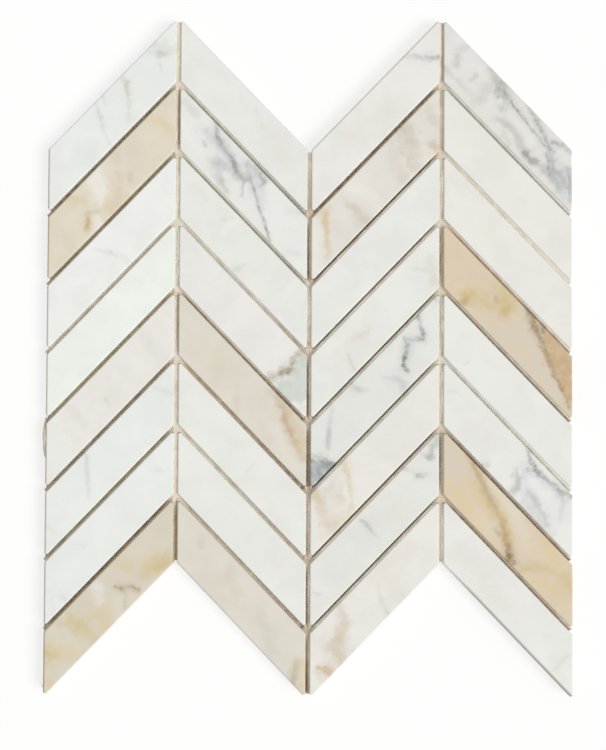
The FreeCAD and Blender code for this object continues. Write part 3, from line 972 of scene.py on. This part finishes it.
def open_tube(sides, turn, size):
    """A flat tube, open at its ends and turned from upright to lie level, of a size along x, y and z."""
    bpy.ops.object.select_all(action="DESELECT")
    bpy.ops.mesh.primitive_cylinder_add(
        vertices=sides, radius=0.5, depth=1, end_fill_type="NOTHING", rotation=turn)
    bpy.ops.object.transform_apply(location=True, rotation=True, scale=True)
    with edit_mode():
        bpy.ops.transform.resize(value=size, center_override=(0, 0, 0))
    return bpy.context.object


def level_thread(net):
    """One pitch of a level thread."""
    size = (net.pair_pitch, net.thread_width, net.thread_height)
    return open_tube(THREAD_SIDES, (0, math.pi / 2, 0), size)


def upright_yarn(net, over):
    """One yarn of an upright pair, two threads long.

    It passes all threads on one side, over or under them, and changes places with its twin between them.
    """
    side = 1 if over else -1
    at_thread = (net.thread_height + net.yarn_height) / 2
    at_twin = net.yarn_height / 2
    size = (net.yarn_width, 2 * net.thread_pitch, net.yarn_height)
    yarn = open_tube(YARN_SIDES, (math.pi / 2, 0, 0), size)
    with edit_mode():
        for halves in (-1, 0, 1):
            bpy.ops.mesh.select_all(action="SELECT")
            bpy.ops.mesh.bisect(plane_co=(0, halves * net.thread_pitch / 2, 0), plane_no=(0, 1, 0))
        for halves in range(-2, 3):
            select_ring(yarn, 1, halves * net.thread_pitch / 2)
            sideways = side * net.pair_spread * math.cos(halves * math.pi / 2)
            upwards = side * (at_twin if halves % 2 else at_thread)
            bpy.ops.transform.translate(value=(sideways, 0, upwards))
    return yarn


def trim_to_zigzag(piece, inset, overhang):
    """Cuts a piece to the zigzag outline of the sheet, a column at a time, and joins the columns again.

    The cut is drawn in by the inset, apart from the left side, where the sheet hangs over a little towards
    its lower corner.
    """
    half_height = HALF_COLUMN_HEIGHT - inset / math.cos(SLANT)
    left, right = CAD_BOX[0].x, CAD_BOX[1].x - inset
    lower_corner = CAD_BOX[0].y
    strips = []
    for column in range(COLUMNS):
        middle = Vector((column_middle(column), 0, 0))
        upward = Vector((-column_climb(column), 1, 0))
        cuts = [(middle + Vector((0, half_height, 0)), upward, True),
                (middle - Vector((0, half_height, 0)), -upward, True)]
        if column == 0:
            cuts.append((Vector((left, 0, 0)), Vector((lower_corner, overhang, 0)), True))
        else:
            cuts.append((middle - Vector((COLUMN_PITCH / 2, 0, 0)), Vector((-1, 0, 0)), False))
        if column == COLUMNS - 1:
            cuts.append((Vector((right, 0, 0)), Vector((1, 0, 0)), True))
        else:
            cuts.append((middle + Vector((COLUMN_PITCH / 2, 0, 0)), Vector((1, 0, 0)), False))

        bpy.ops.object.select_all(action="DESELECT")
        strip = piece.copy()
        strip.data = piece.data.copy()
        bpy.context.collection.objects.link(strip)
        bpy.context.view_layer.objects.active = strip
        strip.select_set(True)
        with edit_mode():
            for place, outward, closed in cuts:
                bpy.ops.mesh.select_all(action="SELECT")
                bpy.ops.mesh.bisect(plane_co=place, plane_no=outward, use_fill=closed, clear_outer=True)
        strips.append(strip)

    name = piece.name
    bpy.data.objects.remove(piece)
    whole = join_pieces(strips, name)
    with edit_mode():
        bpy.ops.mesh.remove_doubles(threshold=SAME_PLACE)
    return whole


def clouds_texture(name, size, depth):
    """A noise for the Displace modifier, with clouds of about the given size."""
    texture = bpy.data.textures.new(name, "CLOUDS")
    texture.noise_scale = size
    texture.noise_depth = depth
    return texture


def coated_yarn_material(net):
    """Glass yarn in a tan coat of adhesive: pale, slightly glossy, and darker where the coat is thin."""
    material, tree, output = new_material("coated_glass_yarn")
    coordinates = add_node(tree, "ShaderNodeTexCoord")
    place = add_node(tree, "ShaderNodeVectorMath", {
        0: coordinates.outputs["Object"], "Scale": 1 / MM}, operation="SCALE")
    coat = add_node(tree, "ShaderNodeTexNoise", {"Vector": place, "Scale": 1 / COAT_SIZE_MM, "Detail": 4.0})
    thin = add_node(tree, "ShaderNodeMapRange", {"Value": coat, "From Min": 0.35, "From Max": 0.7})
    tone = Vector(net.colour)
    colour = add_node(tree, "ShaderNodeMix", {
        0: thin, COLOUR_A: (*tone, 1), COLOUR_B: (*(tone * THIN_COAT), 1)}, data_type="RGBA")

    # Filaments, drawn far coarser than they are so that they show
    filaments = add_node(tree, "ShaderNodeTexNoise", {"Vector": place, "Scale": 1 / FILAMENT_MM})
    bump = add_node(tree, "ShaderNodeBump", {"Distance": FILAMENT_DEPTH, "Height": filaments})
    shader = add_node(tree, "ShaderNodeBsdfPrincipled", {
        "Base Color": colour, "Normal": bump, "Roughness": 0.5, "IOR": 1.5})
    set_inputs(tree, output, {"Surface": shader})
    return material


class TILE_OT_glass_net(bpy.types.Operator):
    """Weave the net, cut it to the outline of the sheet and coat it"""

    bl_idname = "tile.glass_net"
    bl_label = "Glass Net"

    def execute(self, context):
        net = context.scene.tile_net
        size = CAD_BOX[1] - CAD_BOX[0]
        first = level_thread(net)
        second = level_thread(net)
        second.location.y = net.thread_pitch
        bpy.ops.object.transform_apply(location=True, rotation=False, scale=False)
        cloth = join_pieces([first, second, upright_yarn(net, True), upright_yarn(net, False)], "glass_net")

        # The repeat is one pair wide and two threads high
        across = math.ceil(size.x / net.pair_pitch) + SPARE_REPEATS
        up = math.ceil(size.y / (2 * net.thread_pitch)) + SPARE_REPEATS
        for count, step in ((across, (net.pair_pitch, 0, 0)), (up, (0, 2 * net.thread_pitch, 0))):
            apply_modifier(
                cloth, "ARRAY", count=count, use_relative_offset=False, use_constant_offset=True,
                constant_offset_displace=step, use_merge_vertices=True, merge_threshold=ARRAY_MERGE)
        cloth.location = (
            -(across - 1) * net.pair_pitch / 2, -(up - 1) * net.thread_pitch, BACKING_TOP / 2)
        bpy.ops.object.select_all(action="DESELECT")
        cloth.select_set(True)
        bpy.ops.object.transform_apply(location=True, rotation=False, scale=False)
        for axis, cloud in STRAY_SIZES.items():
            apply_modifier(
                cloth, "DISPLACE", texture=clouds_texture(f"strays_{axis}", cloud, 1), direction=axis,
                strength=2 * net.strays, mid_level=0.5)
        cloth = trim_to_zigzag(cloth, net.inset, net.overhang)
        bpy.ops.object.shade_smooth_by_angle(angle=NET_SMOOTH_ANGLE)
        cloth.data.materials.append(coated_yarn_material(net))
        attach(cloth, "root")
        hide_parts("mesh_backing")
        return {"FINISHED"}


# How high the adhesive stands on the left and on the right of each joint, in mm, judged from how light
# the joint looks. Long joints are given by column and then from the top, upright ones by joint from the left
# and then from the top.
LONG_FILLS = (
    ((4.1, 4.1), (4.8, 4.8), (6.8, 6.8), (5.2, 5.2), (4.7, 5.1), (4.9, 6.0), (4.0, 5.3)),
    ((5.3, 8.6), (5.4, 8.9), (7.0, 8.6), (4.8, 8.4), (5.0, 5.6), (6.4, 7.0), (5.6, 5.4)),
    ((4.2, 5.4), (4.4, 8.9), (5.1, 8.9), (4.8, 8.9), (5.0, 8.9), (4.4, 8.9), (4.6, 8.9)),
    ((5.8, 8.8), (7.8, 8.6), (6.0, 8.7), (4.1, 8.0), (6.6, 8.8), (3.2, 6.8), (4.0, 7.0)),
)
UPRIGHT_FILLS = (
    ((8.2, 8.2), (7.4, 5.6), (8.3, 8.3), (7.8, 8.7), (7.4, 6.6), (7.9, 8.2), (8.1, 8.3), (6.4, 5.2)),
    ((7.4, 8.4), (4.8, 7.6), (7.9, 8.7), (5.2, 8.6), (4.8, 5.6), (6.4, 8.5), (5.6, 8.6), (5.2, 8.0)),
    ((8.0, 7.2), (7.2, 7.9), (8.0, 8.7), (5.4, 6.6), (7.4, 8.7), (7.8, 8.7), (5.0, 7.6), (7.4, 8.7)),
)
# How far the adhesive of the long joints is tinted grey as painted shade of the chips' marble sides, by
# column and then from the top
LONG_SHADE_GREY = (
    (0, 0, 0, 0, 0, 0, 0),
    (0.65, 0.65, 0.3, 0.1, 0, 0.2, 0.2),
    (0, 0.1, 0.2, 0.2, 0.2, 0.1, 0.1),
    (0.75, 0.3, 0, 0.1, 0.6, 0.1, 0),
)
# How far the adhesive falls in mm: to the right end of the long joints by column, where a negative fall is a
# rise, and to the lower end of the upright joints
LONG_FALLS = (0.0, 2.4, 0.0, -1.3)
UPRIGHT_FALLS = (0.0, 2.4, 0.0)
# Height and reach of the dabs where joints meet, in mm, by upright joint. They vary over a distance, the
# height by so many mm and the reach by a share
DABS = ((7.6, 5.8), (6.7, 4.6), (7.0, 6.6))
DAB_VARIES_OVER = 23 * MM
DAB_HEIGHT_VARIES = 0.6
DAB_REACH_VARIES = 0.4
Dab = namedtuple("Dab", "place height reach tips")
# Beads: their cells round and up, their radii, how far their tops stand over the dab's height, and where
# those at the tips of chips are
BEAD_CELLS = (20, 12)
MEETING_BEAD = (4.8 * MM, 4.8 * MM, 2.2 * MM)
MEETING_BEAD_OVER = -0.2 * MM
TIP_BEAD = (1.1 * MM, 1.7 * MM, 2.0 * MM)
TIP_BEAD_OVER = 0.3 * MM
TIP_BESIDE = 1.5 * MM
TIP_BEYOND = 3.5 * MM
# Fills: the length and number of their cells, how they widen near dabs, how they step from one height to the
# other, the shares and sizes of their waves, and how far under the faces of the chips they stay
FILL_CELL = 1.2 * MM
FILL_CELLS_ACROSS = 6
FEWEST_CELLS = 8
WIDENING = 0.9
WIDENING_REACH = 5 * MM
STEP_SLOPE, STEP_MIDDLE = 1.6, 0.6
FILL_WAVES = ((0.7, 7 * MM), (0.3, 1.7 * MM))
UNDER_FACE = 0.6 * MM
# Where the fills end: past the left side, and short of the right side and of the tips of the outline
PAST_LEFT = 0.5 * MM
SHORT_OF_RIGHT = 1.0 * MM
SHORT_OF_TIPS = 3.0 * MM
# The lump at the left side: its cells, its radii, its middle, and the size and depth of its waves
LUMP_CELLS = (24, 16)
LUMP_RADII = (2.0 * MM, 12.0 * MM, 4.0 * MM)
LUMP_PLACE = (CAD_BOX[0].x - 0.3 * MM, -48 * MM, 4.9 * MM)
LUMP_WAVES = 5 * MM
LUMP_WAVE_DEPTH = 1.2 * MM
# The film: its cells, how much larger it is before it is cut, and the size and depth of its waves
FILM_CELLS = (110, 140)
FILM_MARGIN = 1.05
FILM_WAVES = 9 * MM
FILM_WAVE_DEPTH = 0.3 * MM
# Material of the adhesive, in mm: its dull patches and grit, the heights where its painted shade starts and
# is full, the heights where threads of the net are hidden and bare, and how far from its middle a thread ends
# and is full
PATCH_SIZE = 5
GRIT_SIZE = 0.8
UNSHADED_HEIGHT, SHADED_HEIGHT = 8.0, 3.2
HIDDEN_HEIGHT, BARE_HEIGHT = 6.0, 2.0
THREAD_END, THREAD_FULL = 0.8, 0.3
# Depth of the grit, how far painted shade in deep places and the dull patches darken it, and the largest
# angle that is shaded smooth
GRIT_DEPTH = 0.15 * MM
DEPTH_SHADE_STRENGTH = 0.9
DULL_STRENGTH = 0.3
PASTE_SMOOTH_ANGLE = math.radians(50)


def adhesive_dabs():
    """Dabs where joints meet, each with its own height, and the corners that blunt tips leave there."""
    dabs = []
    for turn, (height, reach) in zip(turn_places(), DABS):
        to_tips = -TIP_BEYOND if turn.y > 0 else TIP_BEYOND
        for row in range(ROWS - 1):
            place = turn + Vector((0, joint_middle(row), 0))
            chance = noise.noise(place / DAB_VARIES_OVER)
            tips = [place + Vector((across, to_tips, 0)) for across in (-TIP_BESIDE, TIP_BESIDE)]
            dabs.append(Dab(
                place, (height + DAB_HEIGHT_VARIES * chance) * MM,
                reach * (1 + DAB_REACH_VARIES * chance) * MM, tips))
    return dabs


def rounded_blob(cells, radii, middle):
    """A blob with its own radius each way."""
    bpy.ops.object.select_all(action="DESELECT")
    bpy.ops.mesh.primitive_uv_sphere_add(segments=cells[0], ring_count=cells[1], radius=1)
    with edit_mode():
        bpy.ops.transform.resize(value=radii, center_override=(0, 0, 0))
        bpy.ops.transform.translate(value=middle)
    return bpy.context.object


def adhesive_bead(place, top, radii):
    """A bead with its top at a height."""
    return rounded_blob(BEAD_CELLS, radii, (place.x, place.y, top - radii[2]))


def joint_fill(start, end, width, heights, fall, shade, dabs, adhesive):
    """Adhesive in one joint: a strip from start to end, with a height on its left and one on its right in mm.

    Between the two it steps smoothly. It is uneven along and falls towards its end, and near the dabs it
    takes their height and widens.
    """
    run = end - start
    across = Vector((-run.y, run.x, 0)).normalized() * width
    if across.x < 0:
        across = -across
    left, right = [height * MM + adhesive.more_fill for height in heights]
    cells = max(FEWEST_CELLS, round(run.length / FILL_CELL))
    bpy.ops.object.select_all(action="DESELECT")
    bpy.ops.mesh.primitive_grid_add(x_subdivisions=cells, y_subdivisions=FILL_CELLS_ACROSS, size=1)
    strip = bpy.context.object
    for vertex in strip.data.vertices:
        along = vertex.co.x + 0.5
        on_line = start + run * along
        to_dab = min((on_line - dab.place).length for dab in dabs)
        wider = 1 + WIDENING * max(0, 1 - to_dab / WIDENING_REACH)
        place = on_line + across * vertex.co.y * wider
        uneven = sum(share * noise.noise(place / size) for share, size in FILL_WAVES)
        to_right = max(0, min(STEP_SLOPE * vertex.co.y + STEP_MIDDLE, 1))
        level = left + (right - left) * to_right ** 2 * (3 - 2 * to_right) + uneven * MM
        level -= fall * MM * along ** 3
        for dab in dabs:
            level += (dab.height - level) * math.exp(-((place - dab.place).length / dab.reach) ** 2)
        vertex.co = place
        vertex.co.z = max(BACKING_TOP, min(level, FACE_TOP - UNDER_FACE))

    # Painted shade: how far this strip is tinted grey
    shade_tint = strip.data.attributes.new("shade", "FLOAT", "POINT")
    shade_tint.data.foreach_set("value", [shade] * len(strip.data.vertices))

    # A flat underside just inside the film closes it
    underside = adhesive.film_height - adhesive.film_thickness / 2
    with edit_mode():
        bpy.ops.mesh.extrude_region_move(TRANSFORM_OT_translate={"value": (0, 0, -FACE_TOP)})
        bpy.ops.transform.resize(value=(1, 1, 0), center_override=(0, 0, underside))
        bpy.ops.mesh.select_all(action="SELECT")
        bpy.ops.mesh.normals_make_consistent(inside=False)
    return strip


def adhesive_lump():
    """A lump squeezed out at the left side of the sheet."""
    lump = rounded_blob(LUMP_CELLS, LUMP_RADII, LUMP_PLACE)
    apply_modifier(
        lump, "DISPLACE", texture=clouds_texture("lump_waves", LUMP_WAVES, 2), direction="NORMAL",
        strength=LUMP_WAVE_DEPTH, mid_level=0.5)
    return lump


def adhesive_film(adhesive, net):
    """Thin uneven film under all the chips."""
    size = CAD_BOX[1] - CAD_BOX[0]
    bpy.ops.object.select_all(action="DESELECT")
    bpy.ops.mesh.primitive_grid_add(x_subdivisions=FILM_CELLS[0], y_subdivisions=FILM_CELLS[1], size=1)
    film = bpy.context.object
    with edit_mode():
        bpy.ops.transform.resize(
            value=(size.x * FILM_MARGIN, size.y * FILM_MARGIN, 1), center_override=(0, 0, 0))
        bpy.ops.transform.translate(value=(0, 0, adhesive.film_height))
    apply_modifier(
        film, "DISPLACE", texture=clouds_texture("film_waves", FILM_WAVES, 2), direction="Z",
        strength=FILM_WAVE_DEPTH, mid_level=0.5)
    film = trim_to_zigzag(film, net.inset, net.overhang)
    apply_modifier(film, "SOLIDIFY", thickness=adhesive.film_thickness, offset=-1)
    return film


def set_adhesive_material(adhesive, net):
    """Tan mosaic adhesive, squeezed out and set: satin, uneven, with dull places and fine grit.

    Where it is thin, the threads of the net that it covers show as paler ridges. Lower in a joint its colour
    darkens, which is painted shade.
    """
    material, tree, output = new_material("set_mosaic_adhesive")
    coordinates = add_node(tree, "ShaderNodeTexCoord")
    place = add_node(tree, "ShaderNodeVectorMath", {
        0: coordinates.outputs["Object"], "Scale": 1 / MM}, operation="SCALE")
    patches = add_node(tree, "ShaderNodeTexNoise", {"Vector": place, "Scale": 1 / PATCH_SIZE, "Detail": 4.0})
    dull = add_node(tree, "ShaderNodeMapRange", {"Value": patches, "From Min": 0.4, "From Max": 0.68})
    parts = add_node(tree, "ShaderNodeSeparateXYZ", {0: place})
    # Painted shade: the colour darkens lower down in a joint
    deep = add_node(tree, "ShaderNodeMapRange", {
        "Value": parts.outputs["Z"], "From Min": UNSHADED_HEIGHT, "From Max": SHADED_HEIGHT,
        "To Max": DEPTH_SHADE_STRENGTH})
    shade_and_dull = add_node(tree, "ShaderNodeMath", {
        0: dull, 1: DULL_STRENGTH, 2: deep}, operation="MULTIPLY_ADD", use_clamp=True)
    colour = add_node(tree, "ShaderNodeMix", {
        0: shade_and_dull, COLOUR_A: (*adhesive.colour, 1), COLOUR_B: (*adhesive.shade_and_dull_colour, 1)}, data_type="RGBA")
    # Painted shade: a grey tint in the long joints where the chips' shaded marble sides show
    shade = add_node(tree, "ShaderNodeAttribute", attribute_name="shade")
    colour = add_node(tree, "ShaderNodeMix", {
        0: shade.outputs["Fac"], COLOUR_A: colour, COLOUR_B: (*adhesive.shade_grey_colour, 1)}, data_type="RGBA")
    roughness = add_node(tree, "ShaderNodeMapRange", {"Value": dull, "To Min": 0.42, "To Max": 0.65})

    # The net has its upright pairs and its level threads at whole pitches from the middle
    to_pair = add_node(tree, "ShaderNodeMath", {
        0: parts.outputs["X"], 1: net.pair_pitch / 2 / MM}, operation="PINGPONG")
    to_thread = add_node(tree, "ShaderNodeMath", {
        0: parts.outputs["Y"], 1: net.thread_pitch / 2 / MM}, operation="PINGPONG")
    to_net = add_node(tree, "ShaderNodeMath", {0: to_pair, 1: to_thread}, operation="MINIMUM")
    thread = add_node(tree, "ShaderNodeMapRange", {
        "Value": to_net, "From Min": THREAD_END, "From Max": THREAD_FULL}, interpolation_type="SMOOTHSTEP")
    shallow = add_node(tree, "ShaderNodeMapRange", {
        "Value": parts.outputs["Z"], "From Min": HIDDEN_HEIGHT, "From Max": BARE_HEIGHT})
    shows = add_node(tree, "ShaderNodeMath", {0: thread, 1: shallow}, operation="MULTIPLY")
    threaded = add_node(tree, "ShaderNodeMix", {
        0: shows, COLOUR_A: colour, COLOUR_B: (*net.colour, 1)}, data_type="RGBA")

    grit = add_node(tree, "ShaderNodeTexNoise", {"Vector": place, "Scale": 1 / GRIT_SIZE, "Detail": 3.0})
    relief = add_node(tree, "ShaderNodeMath", {0: grit, 1: shows}, operation="ADD")
    bump = add_node(tree, "ShaderNodeBump", {"Distance": GRIT_DEPTH, "Height": relief})
    shader = add_node(tree, "ShaderNodeBsdfPrincipled", {
        "Base Color": threaded, "Roughness": roughness, "Normal": bump, "IOR": 1.48})
    set_inputs(tree, output, {"Surface": shader})
    return material


class TILE_OT_adhesive(bpy.types.Operator):
    """Spread the adhesive under the chips and squeeze it up into the joints"""

    bl_idname = "tile.adhesive"
    bl_label = "Adhesive"

    def execute(self, context):
        adhesive = context.scene.tile_adhesive
        net = context.scene.tile_net
        dabs = adhesive_dabs()
        pieces = [adhesive_film(adhesive, net), adhesive_lump()]
        for dab in dabs:
            pieces.append(adhesive_bead(dab.place, dab.height + MEETING_BEAD_OVER, MEETING_BEAD))
            for tip in dab.tips:
                pieces.append(adhesive_bead(tip, dab.height + TIP_BEAD_OVER, TIP_BEAD))

        # Long joints, which come out a little at the left side and stop short of the right one
        for column in range(COLUMNS):
            rise = column_climb(column)
            reach_left = CHIP_SPAN / 2 + PAST_LEFT if column == 0 else COLUMN_PITCH / 2
            reach_right = CHIP_SPAN / 2 - SHORT_OF_RIGHT if column == COLUMNS - 1 else COLUMN_PITCH / 2
            for row in range(ROWS - 1):
                middle = Vector((column_middle(column), joint_middle(row), 0))
                start = middle - Vector((reach_left, reach_left * rise, 0))
                end = middle + Vector((reach_right, reach_right * rise, 0))
                heights = LONG_FILLS[column][row]
                shade = LONG_SHADE_GREY[column][row]
                pieces.append(joint_fill(
                    start, end, LONG_JOINT, heights, LONG_FALLS[column], shade, dabs, adhesive))

        # Upright joints, a row at a time. They reach the notches of the outline and stop short of its tips
        for turn, fills, fall in zip(turn_places(), UPRIGHT_FILLS, UPRIGHT_FALLS):
            short_top, short_bottom = (SHORT_OF_TIPS, 0) if turn.y > 0 else (0, SHORT_OF_TIPS)
            for row, heights in enumerate(fills):
                top = min(joint_middle(row - 1), HALF_COLUMN_HEIGHT - short_top)
                bottom = max(joint_middle(row), short_bottom - HALF_COLUMN_HEIGHT)
                start = turn + Vector((0, top, 0))
                end = turn + Vector((0, bottom, 0))
                pieces.append(joint_fill(start, end, UPRIGHT_JOINT, heights, fall, 0, dabs, adhesive))

        paste = join_pieces(pieces, "joint_adhesive")
        bpy.ops.object.shade_smooth_by_angle(angle=PASTE_SMOOTH_ANGLE)
        paste.data.materials.append(set_adhesive_material(adhesive, net))
        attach(paste, "root")
        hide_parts("mesh_backing")
        return {"FINISHED"}


# Stage

CAMERA_PLACE = Vector((10.0, -55.0, 1041.68)) * MM
CAMERA_TURN = [math.radians(angle) for angle in (2.438, 0.726, 0.257)]
CAMERA_LENS_MM = 86.26
FLOOR_SIZE = 8.0
FLOOR_GAP = 0.05 * MM


def background_rays(tree):
    """Rays that show the background: from the camera, off a gloss and through glass."""
    path = add_node(tree, "ShaderNodeLightPath")
    seen = path.outputs["Is Camera Ray"]
    for ray in ("Is Glossy Ray", "Is Transmission Ray"):
        seen = add_node(tree, "ShaderNodeMath", {0: seen, 1: path.outputs[ray]}, operation="MAXIMUM")
    return seen


def floor_material(stage):
    """Matt white paper. The camera sees it lifted towards white, and it keeps the shadow."""
    material, tree, output = new_material("white_paper")
    paper = add_node(tree, "ShaderNodeBsdfDiffuse", {"Color": (*stage.floor_colour, 1)})
    white = add_node(tree, "ShaderNodeEmission", {"Color": (1, 1, 1, 1), "Strength": 1.0})
    seen = background_rays(tree)
    lift = add_node(tree, "ShaderNodeMath", {0: seen, 1: stage.floor_lift}, operation="MULTIPLY")
    mixed = add_node(tree, "ShaderNodeMixShader", {0: lift, 1: paper, 2: white})
    set_inputs(tree, output, {"Surface": mixed})
    return material


def soft_surroundings(stage):
    """Even light from all round, which the camera sees as white."""
    world = bpy.data.worlds.new("soft_surroundings")
    world.use_nodes = True
    tree = world.node_tree
    tree.nodes.clear()
    seen = background_rays(tree)
    strength = add_node(tree, "ShaderNodeMapRange", {
        "Value": seen, "To Min": stage.fill_strength, "To Max": 1.0})
    background = add_node(tree, "ShaderNodeBackground", {"Color": (1, 1, 1, 1), "Strength": strength})
    add_node(tree, "ShaderNodeOutputWorld", {"Surface": background})
    return world


class TILE_OT_stage(bpy.types.Operator):
    """Set the floor, the lights and the camera"""

    bl_idname = "tile.stage"
    bl_label = "Stage"

    def execute(self, context):
        scene = context.scene
        stage = scene.tile_stage
        bpy.ops.object.select_all(action="DESELECT")
        bpy.ops.mesh.primitive_plane_add(size=FLOOR_SIZE, location=(0, 0, -FLOOR_GAP))
        bpy.ops.object.transform_apply(location=True, rotation=True, scale=True)
        floor = context.object
        floor.name = "floor"
        floor.data.materials.append(floor_material(stage))

        bpy.ops.object.light_add(type="SUN", rotation=(
            0, math.pi / 2 - stage.sun_elevation, stage.sun_azimuth))
        key = context.object
        key.name = "key_light"
        key.data.energy = stage.sun_strength
        key.data.angle = stage.sun_spread
        scene.world = soft_surroundings(stage)

        bpy.ops.object.camera_add(location=CAMERA_PLACE, rotation=CAMERA_TURN)
        camera = context.object
        camera.data.lens = CAMERA_LENS_MM
        scene.camera = camera
        scene.view_settings.view_transform = "Standard"
        return {"FINISHED"}


OPERATORS = (TILE_OT_marble_chips, TILE_OT_glass_net, TILE_OT_adhesive, TILE_OT_stage)
SETTINGS = {
    "tile_tones": MarbleTones, "tile_finish": ChipFinish, "tile_net": NetSettings,
    "tile_adhesive": AdhesiveSettings, "tile_stage": StageSettings,
}


class TILE_PT_panel(bpy.types.Panel):
    """Steps and settings of the tile"""

    bl_label = "Chevron Mosaic Tile"
    bl_idname = "TILE_PT_panel"
    bl_space_type = "VIEW_3D"
    bl_region_type = "UI"
    bl_category = "Tile"

    def draw(self, context):
        layout = self.layout
        for operator in OPERATORS:
            layout.operator(operator.bl_idname)
        for group in SETTINGS:
            settings = getattr(context.scene, group)
            box = layout.box()
            for name in settings.__annotations__:
                box.prop(settings, name)


def register():
    for group, settings in SETTINGS.items():
        bpy.utils.register_class(settings)
        setattr(bpy.types.Scene, group, PointerProperty(type=settings))
    for cls in (*OPERATORS, TILE_PT_panel):
        bpy.utils.register_class(cls)


def unregister():
    for cls in (TILE_PT_panel, *reversed(OPERATORS)):
        bpy.utils.unregister_class(cls)
    for group, settings in reversed(SETTINGS.items()):
        delattr(bpy.types.Scene, group)
        bpy.utils.unregister_class(settings)


def main():
    register()
    bpy.ops.tile.marble_chips()
    bpy.ops.tile.glass_net()
    bpy.ops.tile.adhesive()
    bpy.ops.tile.stage()


if __name__ == "__main__":
    main()
